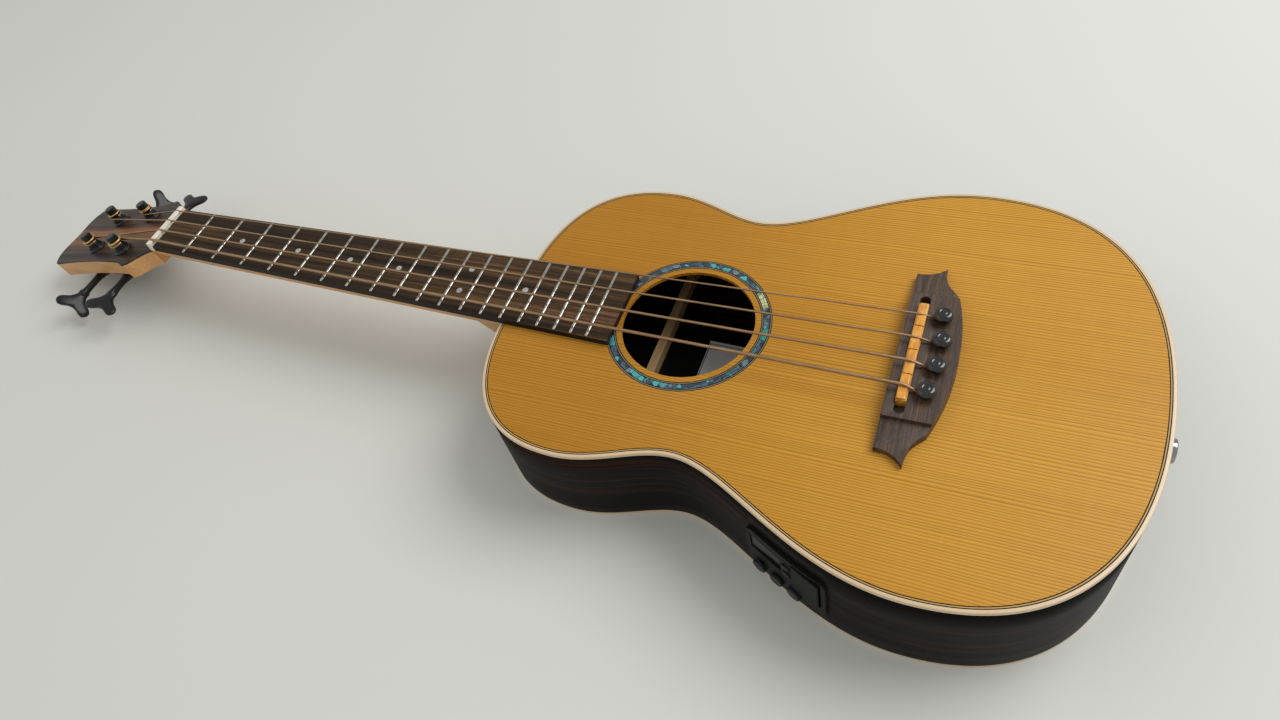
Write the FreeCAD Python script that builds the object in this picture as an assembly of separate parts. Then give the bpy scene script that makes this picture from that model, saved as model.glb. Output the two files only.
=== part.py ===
import FreeCAD, Part
import math
import os
from FreeCAD import Placement, Rotation, Vector

# Short-scale acoustic-electric bass guitar, lying on its flat back.
# It is laid out on the luthier's centreline: x runs from the nut to the tail, y to the treble
# side and z up out of the soundboard's face, in millimetres. lay_on_back() then turns it so
# that the back lies flat on z = 0, with the origin under the middle of the whole instrument.

# ---- scale and strings ----
SCALE = 580.0                  # nut to the saddle before compensation
COMPENSATION = 5.5             # saddle set back by this much
FRET_COUNT = 19
BODY_FRET = 14                 # the body starts here
STRINGS = ("e", "a", "d", "g")
STRING_D = {"e": 2.1, "a": 1.75, "d": 1.4, "g": 1.15}
NUT_SPREAD = 33.4              # outer string to outer string at the nut
SADDLE_SPREAD = 52.6

# ---- body outline, half widths and the pull of each curve's handles ----
BODY_LENGTH = 401.5
UPPER_BOUT_HALF = 113.3
WAIST_HALF = 96.0
LOWER_BOUT_HALF = 145.9
UPPER_BOUT_SHARE = 0.1868      # of the body's length, from the neck joint
WAIST_SHARE = 0.3649
LOWER_BOUT_SHARE = 0.7148
SHOULDER_FLAT = 8.0
SHOULDER_PULL = 89.0
UPPER_PULL = 29.0
WAIST_FRONT_PULL = 22.5
WAIST_REAR_PULL = 34.0
LOWER_FRONT_PULL = 61.0
LOWER_REAR_PULL = 64.0
TAIL_FLAT = 109.0

# ---- body walls ----
DEPTH_AT_NECK = 69.0
DEPTH_AT_TAIL = 78.5
TOP_THICK = 2.4
BACK_THICK = 2.4
SIDE_THICK = 2.0
BINDING_WIDE = 2.0
PURFLING_LINE = 0.6           # one line of the black, white, black purfling
PURFLING_DEEP = 1.2
LINING_WIDE = 5.5
LINING_TALL = 12.0
BLOCK_HALF = 34.0
NECK_BLOCK_LONG = 52.0
TAIL_BLOCK_LONG = 15.0

# ---- soundhole and rosette ----
HOLE_FROM_NECK = 124.36        # neck joint to the middle of the hole
HOLE_R = 43.0
ROSETTE_GAP = 3.7              # plain wood between the hole and the inner lines
LINES_WIDE = 1.7
ABALONE_WIDE = 3.5
ROSETTE_DEEP = 1.2

# ---- braces and label ----
BRACE_WIDE = 6.0
BRACE_TALL = 9.0
BRACE_GAP = 1.0                # end of a brace to the lining
BRACE_BEFORE_HOLE = 15.0       # edge of the hole to the middle of the brace
BRACE_BEHIND_HOLE = 8.0
BACK_BRACE_SHARES = (0.219, 0.473, 0.655, 0.829)
BRIDGE_PLATE_LONG = 62.0
BRIDGE_PLATE_HALF = 62.0
BRIDGE_PLATE_THICK = 2.5
FAN_COUNT = 3
FAN_SPACING = 38.0
FAN_LONG = 66.0
FAN_WIDE = 5.0
FAN_TALL = 5.0
LABEL_LONG = 62.0
LABEL_WIDE = 82.0
LABEL_THICK = 0.3
LABEL_BEHIND_HOLE = 25.0       # middle of the hole to the middle of the label
LABEL_ASIDE = -2.0

# ---- fretboard, frets, dots and nut ----
BOARD_THICK = 4.6
BOARD_AT_NUT = 42.2
BOARD_AT_END = 58.0
BOARD_TO_HOLE = 1.5            # end of the fretboard to the edge of the hole
FRET_WIDE = 2.2
FRET_TALL = 0.9
FRET_TANG_WIDE = 0.6
FRET_TANG_DEEP = 1.6
FRET_INSET = 0.5
DOT_R = 2.2
DOT_DEEP = 1.0
DOT_FRETS = (3, 5, 7, 9, 12, 15)
DOUBLE_DOT_FRET = 12
DOUBLE_DOT_SPREAD = 20.0
NUT_THICK = 4.6
NUT_LONG = 43.0
NUT_TALL = 8.0                 # over the face of the neck
NUT_ROUND = 1.15
STRING_OVER_NUT_FRET = 1.3     # underside of a string over the fret plane, at the nut

# ---- neck ----
NECK_HALF_AT_NUT = 21.0
NECK_HALF_AT_HEEL = 27.0
NECK_DEEP_AT_NUT = 15.5
NECK_DEEP_AT_HEEL = 18.0
HEEL_LONG = 58.0
HEEL_FOOT_LONG = 17.0
HEEL_FOOT_HALF = 12.0
HEEL_FOOT_GAP = 3.0            # heel foot to the back's edge
HEEL_WAISTS = ((0.3, 0.72, 0.86), (0.65, 0.42, 0.62))  # shares of the drop, the length and the width
TRUSS_D = 6.0
TRUSS_LONG = 320.0
TRUSS_CHANNEL_DEEP = 9.0

# ---- head ----
HEAD_TILT = 12.6
VENEER_THICK = 1.5
HEAD_THICK = 15.0              # veneer and wood together
HEAD_SHOULDER_AT = 26.0
HEAD_SHOULDER_HALF = 37.4
HEAD_WAIST_AT = 47.0
HEAD_WAIST_HALF = 32.4
HEAD_TIP_AT = 127.5
HEAD_TIP_HALF = 33.8
HEAD_END_AT = 135.4
HEAD_END_BOW_HALF = 17.0
HEAD_END_DIP = 1.0
HEAD_OGEE_PULLS = ((12.0, 3.0), (-10.0, -2.0))
HEAD_FALL_PULLS = ((8.0, -4.0), (-9.0, 0.6))
HEAD_FLANK_BOW = 1.6
HEAD_CORNER_BOW = (1.6, 0.8)
HEAD_CREST_PULLS = ((0.4, -5.0), (0.0, 6.0))
HEAD_RAMP = 9.0                # the wood under the nut runs down to the face of the head

# ---- tuners ----
POST_AT = {"e": (41.5, -19.3), "a": (84.0, -16.0), "d": (84.0, 16.0), "g": (41.5, 19.3)}
POST_R = 4.0
POST_CAP_R = 4.3
POST_CAP_TALL = 4.2
POST_CAP_ROUND = 1.05
POST_TALL = 15.2
POST_FLANGE_R = 4.9
POST_FLANGE_TOP = 5.9
POST_FIT = 0.05
WINDING_LOW = 6.3              # underside of the string where it reaches the post
STRING_GAP = 0.15              # string to the post and the winding, which turn
BUSHING_R = 7.2
BUSHING_TALL = 4.4
BUSHING_TOP_R = 5.9
BUSHING_BORE_R = 5.2
PLATE_LONG = 40.0
PLATE_WIDE = 24.0
PLATE_THICK = 1.8
PLATE_CORNER = 5.0
PLATE_SHIFT = 5.0              # the plate's middle is this far towards the worm
SCREW_R = 1.3
SCREW_HEAD_R = 2.5
SCREW_HEAD_TALL = 1.4
SCREW_HEAD_ROUND = 0.84
SCREW_LONG = 8.0
SCREW_INSET = 3.6
WHEEL_TEETH = 20
WHEEL_MODULE = 0.7
WHEEL_THICK = 4.0
WHEEL_GAP = 2.0                # plate to wheel, so that the worm clears the plate
TOOTH_ADDENDUM = 0.5
TOOTH_DEDENDUM = 0.75
TOOTH_SHARE = 0.40             # of a pitch, at the pitch line, so that the mesh has backlash
TOOTH_ROOT_SPREAD = 0.62       # half a tooth at its root, as a share of its pitch-line width
TOOTH_TIP_SHARE = 0.24
WORM_R = 3.3                   # pitch radius
WORM_LONG = 12.0
WORM_TURNS = 4                 # a whole even number puts a gap opposite the wheel's middle tooth
WORM_SHAFT_R = 2.6
THREAD_TALL_SHARE = 0.8        # of the wheel's addendum
THREAD_ROOT_SHARE = 0.24       # half widths, of a pitch
THREAD_TIP_SHARE = 0.13
THREAD_SINK = 0.25             # how far the thread runs into its core
THREAD_FLARE = 0.3
EAR_THICK = 2.6
EAR_WIDE = 9.0
EAR_GAP = 0.4
EAR_BELOW_AXIS = 4.4
KEY_END_AT = 69.0              # from the centreline to the end of a key
KEY_BLADE_LONG = 21.0
KEY_BLADE_THICK = 4.4
KEY_HALF = 13.6
KEY_LOBE_R = 4.3
KEY_NECK_HALF = 3.4
KEY_FLANK_AT = 0.38            # share of the blade where its flank is still narrow
KEY_FLANK_OUT = 0.10
KEY_DIP = 0.75                 # depth of the dip between the lobes, in lobe radii
LOBE_ALONG = 0.8               # where the flank and the dip meet a lobe: 0.8 and 0.6 of its radius
LOBE_ACROSS = 0.6
KEY_TURN = {"e": -62.0, "a": -32.0, "d": 24.0, "g": 82.0}

# ---- bridge, saddle and pins ----
BRIDGE_TO_FRONT = 9.0          # from the saddle's middle
BRIDGE_TO_BELLY = 25.5
BRIDGE_TO_WING_BACK = 9.1
BRIDGE_HALF_FRONT = 65.0
BRIDGE_HALF_BACK = 72.5
BRIDGE_BELLY_HALF = 51.0
BRIDGE_END_BOW = (1.0, -2.2)
BRIDGE_TIP_BACK = 1.0
BRIDGE_WAIST_BOW = 0.5
BRIDGE_WAIST_IN = (0.6, 4.0)
BRIDGE_SHOULDER_BACK = 8.0
BRIDGE_FLARE_PULLS = ((1.5, -4.0), (-3.0, 3.2))
BRIDGE_BELLY_BOW = 1.9
BRIDGE_THICK = 9.0
WING_THICK = 6.0
WING_TIP_THICK = 3.6
WING_FROM = 46.0
SADDLE_THICK = 6.0
SADDLE_LONG = 71.0
SADDLE_SLOT_LONG = 87.0
SADDLE_SLOT_DEEP = 5.0
SADDLE_TOP = 12.4
SADDLE_PAD_GAP = 0.8
SADDLE_PAD_TALL = 1.5
SADDLE_PAD_SHIFT = 0.5
SADDLE_PAD_ROUND = 0.9
PICKUP_THICK = 1.0
PICKUP_WIDE = 3.0
PIN_BEHIND_SADDLE = 14.6
PIN_ARC = 2.2                  # the middle pins stand this much further back
PIN_SPREAD = 55.2
PIN_R = 3.5
PIN_HEAD_R = 5.9
PIN_HEAD_GAP = 2.8             # bridge to the underside of a pin's head
PIN_HEAD_TALL = 4.6
PIN_DOME = 2.53
PIN_BELOW = 6.0
BALL_R = 2.2
BALL_TALL = 4.0

# ---- preamp in the bass side ----
PANEL_AT = 82.0                # along the side from the waist
PANEL_LONG = 57.0
PANEL_TALL = 44.0
PANEL_DROP = 42.0              # the panel's middle below the soundboard
PANEL_THICK = 2.0
PANEL_CORNER = 7.0
PANEL_LIP = 2.0
HOUSING_DEEP = 22.0
HOUSING_WALL = 1.5
HOUSING_TOP = -4.0             # the housing's front edge, behind the panel where the side curves in
HOUSING_SPARE = 6.0            # room kept clear behind the battery sleeve
BATTERY_BEHIND_TOP = 1.0
SCREEN_AT = (-13.5, 7.5)
SCREEN_SIZE = (23.0, 15.0)
SCREEN_THICK = 1.2
SCREEN_PROUD = 0.6
SCREEN_FIT = 0.05
KNOB_AT = {"volume_knob": -18.5, "bass_knob": -5.5, "treble_knob": 7.5}
KNOB_DROP = -15.3
KNOB_R = 4.8
KNOB_TALL = 2.0
KNOB_GAP = 0.4
KNOB_SHAFT_R = 1.5
KNOB_FLUTES = 12
KNOB_FLUTE_R = 0.7
KNOB_FLUTE_OUT = 0.35
KNOB_ROUND = 0.8
BUTTON_AT = {"tuner_button": (2.4, 11.5), "phase_button": (2.4, 3.0)}
BUTTON_SIZE = (5.0, 3.4)
BUTTON_PROUD = 1.2
BUTTON_DEEP = 4.0
BUTTON_ROUND = 0.5
BUTTON_TRAVEL = 0.8
DOOR_AT = (15.6, 4.4)
DOOR_SIZE = (18.6, 29.0)
DOOR_THICK = 1.8
DOOR_PROUD = 0.7
DOOR_GAP = 0.35
BATTERY_SIZE = (17.5, 26.5, 48.5)
SLIP = 0.3                     # general clearance between pieces that slide past each other

# ---- output jack in the tail ----
JACK_DROP = 40.0
JACK_PLUG_R = 3.2
JACK_R = 5.6
JACK_BORE_LONG = 30.0
JACK_LONG = 36.0
JACK_PROUD = 9.0
JACK_WAIST_R = 6.6
JACK_RING_R = 7.4
JACK_RING_TALL = 4.0
JACK_RING_ROUND = 1.2
JACK_WASHER_R = 8.6
JACK_WASHER_TALL = 1.2
LEAD_D = 2.4
LEAD_EXITS = ((-14.0, 6.0), (-14.0, -8.0))  # on the back of the preamp: pickup lead, jack lead
LEAD_RUNS = (28.0, 34.0)
LEAD_BENDS = (10.0, 14.0)
PICKUP_LEAD_FOOT = (6.0, -40.0)             # on the bridge plate
PICKUP_LEAD_DROP = 26.0
JACK_LEAD_RUN = 40.0

# ---- making ----
ABOVE = 20.0                   # how far cutting shapes run past the body
HAIR = 0.01                    # a fillet stays this much short of meeting itself
MITRED = 1                     # the corner style of a swept tube
INSET_STEPS = 16               # spans of the curve that runs beside each edge of the outline

# ---- worked out from the sizes above ----
BODY_START = SCALE * (1 - 2 ** (-BODY_FRET / 12))
BODY_END = BODY_START + BODY_LENGTH
BELOW = 2 * DEPTH_AT_TAIL
HOLE_AT = BODY_START + HOLE_FROM_NECK
BOARD_END = HOLE_AT - HOLE_R - BOARD_TO_HOLE
TOP_BRACES_AT = (HOLE_AT - HOLE_R - BRACE_BEFORE_HOLE, HOLE_AT + HOLE_R + BRACE_BEHIND_HOLE)
BACK_BRACES_AT = [BODY_START + share * BODY_LENGTH for share in BACK_BRACE_SHARES]
FRET_PLANE = BOARD_THICK + FRET_TALL
SADDLE_X = SCALE + COMPENSATION
BRIDGE_FRONT = SADDLE_X - BRIDGE_TO_FRONT
BRIDGE_BELLY = SADDLE_X + BRIDGE_TO_BELLY
BRIDGE_WING_BACK = SADDLE_X + BRIDGE_TO_WING_BACK
PURFLING_WIDE = 3 * PURFLING_LINE
BACK_SLOPE = math.atan2(DEPTH_AT_TAIL - DEPTH_AT_NECK, BODY_LENGTH)
PIN_SEAT = BRIDGE_THICK + PIN_HEAD_GAP
WORM_OFFSET = WHEEL_TEETH * WHEEL_MODULE / 2 + WORM_R
WORM_PITCH = math.pi * WHEEL_MODULE
WHEEL_TOP = HEAD_THICK + PLATE_THICK + WHEEL_GAP
WORM_DROP = WHEEL_TOP + WHEEL_THICK / 2


def box(low, high):
    size = high.sub(low)
    return Part.makeBox(size.x, size.y, size.z, low)


def rod(radius, start, end):
    line = end.sub(start)
    return Part.makeCylinder(radius, line.Length, start, line)


def prism(points, height):
    """A flat outline of straight edges, given in a plane, pushed along the height vector."""
    return Part.Face(Part.makePolygon(points + points[:1])).extrude(height)


def tube(points, radius):
    """A round rod carried along the points, mitred at each bend."""
    path = Part.makePolygon(points)
    section = Part.Wire(Part.makeCircle(radius, points[0], points[1].sub(points[0])))
    return path.makePipeShell([section], True, False, MITRED)


def rounded_plate(length, width, radius, low, high):
    """A plate with round corners about the origin, from low to high along z."""
    half = Vector(length / 2, width / 2, 0)
    plate = box(Vector(-half.x, -half.y, low), Vector(half.x, half.y, high))
    upright = [edge for edge in plate.Edges if abs(edge.tangentAt(edge.FirstParameter).z) > 0.99]
    return plate.makeFillet(radius, upright)


def interpolate(x, x0, y0, x1, y1):
    return y0 + (y1 - y0) * (x - x0) / (x1 - x0)


# ---------------------------------------------------------------- body outline

def outline_edges():
    """The bass side from neck to tail, as four cubic curves, in the soundboard's plane."""
    start = BODY_START
    upper = start + UPPER_BOUT_SHARE * BODY_LENGTH
    waist = start + WAIST_SHARE * BODY_LENGTH
    lower = start + LOWER_BOUT_SHARE * BODY_LENGTH
    rows = (
        ((start, 0), (start, SHOULDER_FLAT), (upper - SHOULDER_PULL, UPPER_BOUT_HALF),
         (upper, UPPER_BOUT_HALF)),
        ((upper, UPPER_BOUT_HALF), (upper + UPPER_PULL, UPPER_BOUT_HALF),
         (waist - WAIST_FRONT_PULL, WAIST_HALF), (waist, WAIST_HALF)),
        ((waist, WAIST_HALF), (waist + WAIST_REAR_PULL, WAIST_HALF),
         (lower - LOWER_FRONT_PULL, LOWER_BOUT_HALF), (lower, LOWER_BOUT_HALF)),
        ((lower, LOWER_BOUT_HALF), (lower + LOWER_REAR_PULL, LOWER_BOUT_HALF),
         (BODY_END, TAIL_FLAT), (BODY_END, 0)),
    )
    edges = []
    for row in rows:
        curve = Part.BezierCurve()
        curve.setPoles([Vector(x, -y, 0) for x, y in row])
        edges.append(curve.toShape())
    return edges


BASS_EDGES = outline_edges()


def inset_edge(edge, inset):
    """A curve that stays inset towards the centreline from one edge of the bass side."""
    points = []
    for step in range(INSET_STEPS + 1):
        at = interpolate(step, 0, edge.FirstParameter, INSET_STEPS, edge.LastParameter)
        forward = edge.tangentAt(at)
        points.append(edge.valueAt(at) + Vector(-forward.y, forward.x, 0) * inset)
    curve = Part.BSplineCurve()
    curve.interpolate(Points=points, InitialTangent=edge.tangentAt(edge.FirstParameter),
                      FinalTangent=edge.tangentAt(edge.LastParameter))
    return curve.toShape()


def plan_face(inset):
    """The body's plan, drawn in by inset, or let out where inset is negative."""
    bass = BASS_EDGES
    if inset != 0:
        bass = [inset_edge(edge, inset) for edge in BASS_EDGES]
    treble = [edge.mirror(Vector(0, 0, 0), Vector(0, 1, 0)) for edge in reversed(bass)]
    return Part.Face(Part.Wire(bass + treble))


def plan_block(inset, high, low):
    """The body's plan, drawn in by inset, between two heights."""
    face = plan_face(inset)
    face.translate(Vector(0, 0, low))
    return face.extrude(Vector(0, 0, high - low))


def above_back(rise):
    """All space over a plane parallel to the back's outer face and rise above it."""
    reach = 4 * BODY_LENGTH
    block = box(Vector(-reach, -reach, rise), Vector(reach, reach, rise + reach))
    block.rotate(Vector(0, 0, 0), Vector(0, 1, 0), math.degrees(BACK_SLOPE))
    block.translate(Vector(BODY_START, 0, -DEPTH_AT_NECK))
    return block


def back_height(x, rise=0.0):
    """Height of the plane that lies rise over the back's outer face, at x."""
    return -DEPTH_AT_NECK - (x - BODY_START) * math.tan(BACK_SLOPE) + rise / math.cos(BACK_SLOPE)


def body_layer(inset, low_rise, high_rise):
    """A slab parallel to the back, between two heights over the back's outer face."""
    block = plan_block(inset, 0, -BELOW).common(above_back(low_rise))
    return block.cut(above_back(high_rise))


# ---------------------------------------------------------------- body pieces

def pin_places():
    places = []
    for index in range(4):
        y = -PIN_SPREAD / 2 + index * PIN_SPREAD / 3
        setback = PIN_ARC if index in (1, 2) else 0.0
        places.append(Vector(SADDLE_X + PIN_BEHIND_SADDLE - PIN_ARC + setback, y, 0))
    return places


def pin_holes(low, high):
    holes = [rod(PIN_R + POST_FIT, place + Vector(0, 0, low), place + Vector(0, 0, high))
             for place in pin_places()]
    return Part.makeCompound(holes)


def disc_ring(inner, outer, low, high):
    centre = Vector(HOLE_AT, 0, low)
    ring = Part.makeCylinder(outer, high - low, centre)
    return ring.cut(Part.makeCylinder(inner, high - low, centre))


def rosette_part(inner, outer):
    """One ring of the rosette, ending where the fretboard covers it."""
    ring = disc_ring(inner, outer, -ROSETTE_DEEP, 0)
    return ring.cut(box(Vector(0, -BODY_LENGTH, -ABOVE), Vector(BOARD_END, BODY_LENGTH, ABOVE)))


ROSETTE_IN = HOLE_R + ROSETTE_GAP
ABALONE_IN = ROSETTE_IN + LINES_WIDE
ABALONE_OUT = ABALONE_IN + ABALONE_WIDE
ROSETTE_OUT = ABALONE_OUT + LINES_WIDE


def rosette_abalone():
    return rosette_part(ABALONE_IN, ABALONE_OUT)


def rosette_lines():
    return Part.makeCompound([rosette_part(ROSETTE_IN, ABALONE_IN), rosette_part(ABALONE_OUT, ROSETTE_OUT)])


def soundboard():
    board = plan_block(BINDING_WIDE, -PURFLING_DEEP, -TOP_THICK)
    board = board.fuse(plan_block(BINDING_WIDE + PURFLING_WIDE, 0, -TOP_THICK))
    board = board.cut(Part.makeCylinder(HOLE_R, BELOW, Vector(HOLE_AT, 0, -TOP_THICK)))
    board = board.cut(rosette_part(ROSETTE_IN, ROSETTE_OUT))
    return board.cut(pin_holes(-BELOW, ABOVE))


def top_purfling():
    rings = []
    for index in range(3):
        inset = BINDING_WIDE + index * PURFLING_LINE
        outer = plan_block(inset, 0, -PURFLING_DEEP)
        rings.append(outer.cut(plan_block(inset + PURFLING_LINE, 0, -PURFLING_DEEP)))
    return Part.makeCompound(rings)


def top_binding():
    return plan_block(0, 0, -TOP_THICK).cut(plan_block(BINDING_WIDE, 0, -TOP_THICK))


def back_plate():
    return body_layer(BINDING_WIDE, 0, BACK_THICK)


def back_binding():
    return body_layer(0, 0, BACK_THICK).cut(plan_block(BINDING_WIDE, ABOVE, -BELOW))


def rim(outer, inner, high):
    """The wall between two insets, from the back plate's inner face up to a height."""
    wall = plan_block(outer, high, -BELOW).cut(plan_block(inner, high, -BELOW))
    return wall.common(above_back(BACK_THICK))


def half_space(sign):
    """Everything on one side of the centreline: -1 is the bass side, +1 the treble side."""
    reach = 4 * BODY_LENGTH
    low = Vector(-reach, min(0, sign * reach), -reach)
    high = Vector(reach, max(0, sign * reach), reach)
    return box(low, high)


def side_bass():
    side = rim(0, SIDE_THICK, -TOP_THICK).common(half_space(-1))
    opening = rounded_plate(PANEL_LONG - 2 * PANEL_LIP, PANEL_TALL - 2 * PANEL_LIP, PANEL_CORNER - PANEL_LIP,
                            -HOUSING_DEEP, ABOVE)
    side = side.cut(on_side(opening, PANEL_AT))
    return side.cut(jack_hole())


def side_treble():
    side = rim(0, SIDE_THICK, -TOP_THICK).common(half_space(1))
    return side.cut(jack_hole())


def linings():
    """Strips glued inside the rim to carry the soundboard and the back, clear of both blocks."""
    inset = SIDE_THICK + LINING_WIDE
    ring = rim(SIDE_THICK, inset, -TOP_THICK)
    upper = ring.common(box(Vector(0, -BODY_LENGTH, -TOP_THICK - LINING_TALL),
                            Vector(2 * BODY_END, BODY_LENGTH, -TOP_THICK)))
    lower = ring.cut(above_back(BACK_THICK + LINING_TALL))
    clear = box(Vector(BODY_START + NECK_BLOCK_LONG, -BODY_LENGTH, -BELOW),
                Vector(BODY_END - TAIL_BLOCK_LONG - inset, BODY_LENGTH, ABOVE))
    across = box(Vector(0, -BLOCK_HALF, -BELOW), Vector(2 * BODY_END, BLOCK_HALF, ABOVE))
    strips = []
    for strip in (upper, lower):
        for sign in (-1, 1):
            piece = strip.common(half_space(sign)).cut(across.cut(clear))
            strips.extend(solid for solid in piece.Solids if solid.Volume > LINING_WIDE ** 3)
    opening = on_side(housing_space(SLIP), PANEL_AT)
    return Part.makeCompound([strip.cut(opening) for strip in strips])


def end_block(low_x, high_x):
    block = plan_block(SIDE_THICK, -TOP_THICK, -BELOW).common(above_back(BACK_THICK))
    return block.common(box(Vector(low_x, -BLOCK_HALF, -BELOW), Vector(high_x, BLOCK_HALF, ABOVE)))


def neck_block():
    return end_block(0, BODY_START + NECK_BLOCK_LONG)


def tail_block():
    return end_block(BODY_END - SIDE_THICK - TAIL_BLOCK_LONG, 2 * BODY_END).cut(jack_hole())


def inner_width(x):
    """Half the room between the linings at x."""
    inner = plan_face(SIDE_THICK + LINING_WIDE + BRACE_GAP)
    slit = Part.makePlane(1.0, 2 * BODY_LENGTH, Vector(x - 0.5, -BODY_LENGTH, 0))
    return inner.common(slit).BoundBox.YMax


def top_braces():
    bars = []
    for x in TOP_BRACES_AT:
        half = inner_width(x) - BRACE_WIDE
        low = Vector(x - BRACE_WIDE / 2, -half, -TOP_THICK - BRACE_TALL)
        bars.append(box(low, Vector(x + BRACE_WIDE / 2, half, -TOP_THICK)))
    plate_end = SADDLE_X + BRIDGE_PLATE_LONG / 2
    fan_end = min(plate_end + FAN_LONG, BODY_END - SIDE_THICK - TAIL_BLOCK_LONG - BRACE_GAP)
    for index in range(FAN_COUNT):
        y = (index - (FAN_COUNT - 1) / 2) * FAN_SPACING
        low = Vector(plate_end + BRACE_GAP, y - FAN_WIDE / 2, -TOP_THICK - FAN_TALL)
        bars.append(box(low, Vector(fan_end, y + FAN_WIDE / 2, -TOP_THICK)))
    return Part.makeCompound(bars)


def bridge_plate():
    plate = box(Vector(SADDLE_X - BRIDGE_PLATE_LONG / 2, -BRIDGE_PLATE_HALF, -TOP_THICK - BRIDGE_PLATE_THICK),
                Vector(SADDLE_X + BRIDGE_PLATE_LONG / 2, BRIDGE_PLATE_HALF, -TOP_THICK))
    return plate.cut(pin_holes(-BELOW, ABOVE))


def back_braces():
    bars = []
    for x in BACK_BRACES_AT:
        half = inner_width(x) - BRACE_WIDE
        bar = box(Vector(x - BRACE_WIDE / 2, -half, -BELOW), Vector(x + BRACE_WIDE / 2, half, ABOVE))
        bars.append(bar.common(above_back(BACK_THICK)).cut(above_back(BACK_THICK + BRACE_TALL)))
    return Part.makeCompound(bars)


def label():
    half = Vector(LABEL_LONG / 2, LABEL_WIDE / 2, 0)
    centre = Vector(HOLE_AT + LABEL_BEHIND_HOLE, LABEL_ASIDE, 0)
    sheet = box(centre - half - Vector(0, 0, BELOW), centre + half)
    return sheet.common(above_back(BACK_THICK)).cut(above_back(BACK_THICK + LABEL_THICK))


# ---------------------------------------------------------------- fretboard, frets, nut and neck

def fret_x(number):
    return SCALE * (1 - 2 ** (-number / 12))


def board_half(x):
    return interpolate(x, 0, BOARD_AT_NUT, BOARD_END, BOARD_AT_END) / 2


def fret(number):
    """A T of wire: a round crown on the board and a tang in its slot."""
    x = fret_x(number)
    half = board_half(x) - FRET_INSET
    wide = FRET_WIDE / 2
    tang = FRET_TANG_WIDE / 2
    base = Vector(x, -half, BOARD_THICK)
    crown = Part.Arc(base + Vector(-wide, 0, 0), base + Vector(0, 0, FRET_TALL), base + Vector(wide, 0, 0))
    under = Part.makePolygon([base + Vector(wide, 0, 0), base + Vector(tang, 0, 0),
                              base + Vector(tang, 0, -FRET_TANG_DEEP), base + Vector(-tang, 0, -FRET_TANG_DEEP),
                              base + Vector(-tang, 0, 0), base + Vector(-wide, 0, 0)])
    profile = Part.Face(Part.Wire([crown.toShape()] + under.Edges))
    return profile.extrude(Vector(0, 2 * half, 0))


def frets():
    return Part.makeCompound([fret(number) for number in range(1, FRET_COUNT + 1)])


def dot_centres():
    centres = []
    for number in DOT_FRETS:
        x = (fret_x(number - 1) + fret_x(number)) / 2
        if number == DOUBLE_DOT_FRET:
            centres.append(Vector(x, -DOUBLE_DOT_SPREAD / 2, BOARD_THICK - DOT_DEEP))
            centres.append(Vector(x, DOUBLE_DOT_SPREAD / 2, BOARD_THICK - DOT_DEEP))
        else:
            centres.append(Vector(x, 0, BOARD_THICK - DOT_DEEP))
    return centres


def position_dots():
    return Part.makeCompound([Part.makeCylinder(DOT_R, DOT_DEEP, centre) for centre in dot_centres()])


def fretboard():
    near = board_half(0)
    far = board_half(BOARD_END)
    corners = [Vector(0, -near, 0), Vector(BOARD_END, -far, 0), Vector(BOARD_END, far, 0), Vector(0, near, 0)]
    board = prism(corners, Vector(0, 0, BOARD_THICK))
    return board.cut(frets()).cut(position_dots())


def nut():
    blank = box(Vector(-NUT_THICK, -NUT_LONG / 2, 0), Vector(0, NUT_LONG / 2, NUT_TALL))
    long_edges = [edge for edge in blank.Edges if edge.CenterOfMass.z > NUT_TALL - HAIR
                  and abs(edge.tangentAt(edge.FirstParameter).y) > 0.99]
    blank = blank.makeFillet(NUT_ROUND, long_edges)
    for name in STRINGS:
        path = string_path(name)
        radius = STRING_D[name] / 2
        slot = tube(path[:3], radius)
        for lift in (radius, 2 * radius):
            raised = tube([point + Vector(0, 0, lift) for point in path[:3]], radius)
            slot = slot.fuse(raised)
        blank = blank.cut(slot)
    return blank


def neck_section(x, half, deep):
    """A D: flat face up, half an ellipse below."""
    if deep > half:
        arc = Part.Ellipse(Vector(0, 0, 0), deep, half)
    else:
        arc = Part.Ellipse(Vector(0, 0, 0), half, deep)
    curve = arc.toShape(math.pi, 2 * math.pi)
    curve.rotate(Vector(0, 0, 0), Vector(1, 0, 0), 90)
    curve.rotate(Vector(0, 0, 0), Vector(0, 0, 1), 90)
    curve.translate(Vector(x, 0, 0))
    ends = [vertex.Point for vertex in curve.Vertexes]
    return Part.Wire([curve, Part.makeLine(ends[1], ends[0])])


def heel_section(z, front, half):
    """A U in plan: half an ellipse in front, square against the body."""
    arc = Part.Ellipse(Vector(0, 0, 0), max(front, half + HAIR), half)
    curve = arc.toShape(math.pi / 2, 3 * math.pi / 2)
    curve.translate(Vector(BODY_START, 0, z))
    ends = [vertex.Point for vertex in curve.Vertexes]
    return Part.Wire([curve, Part.makeLine(ends[1], ends[0])])


def in_head(shape):
    """Moves a shape from the head's own frame: x towards the tip, y bass to treble, z off its face."""
    place = Placement(Vector(-NUT_THICK, 0, 0), Rotation(Vector(0, 1, 0), -HEAD_TILT))
    turned = shape.copy()
    turned = turned.mirror(Vector(0, 0, 0), Vector(1, 0, 0))
    turned.Placement = place.multiply(turned.Placement)
    return turned


def head_point(u, y, h):
    """The same move for a point."""
    rotation = Rotation(Vector(0, 1, 0), -HEAD_TILT)
    return rotation.multVec(Vector(-u, y, h)) + Vector(-NUT_THICK, 0, 0)


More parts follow.
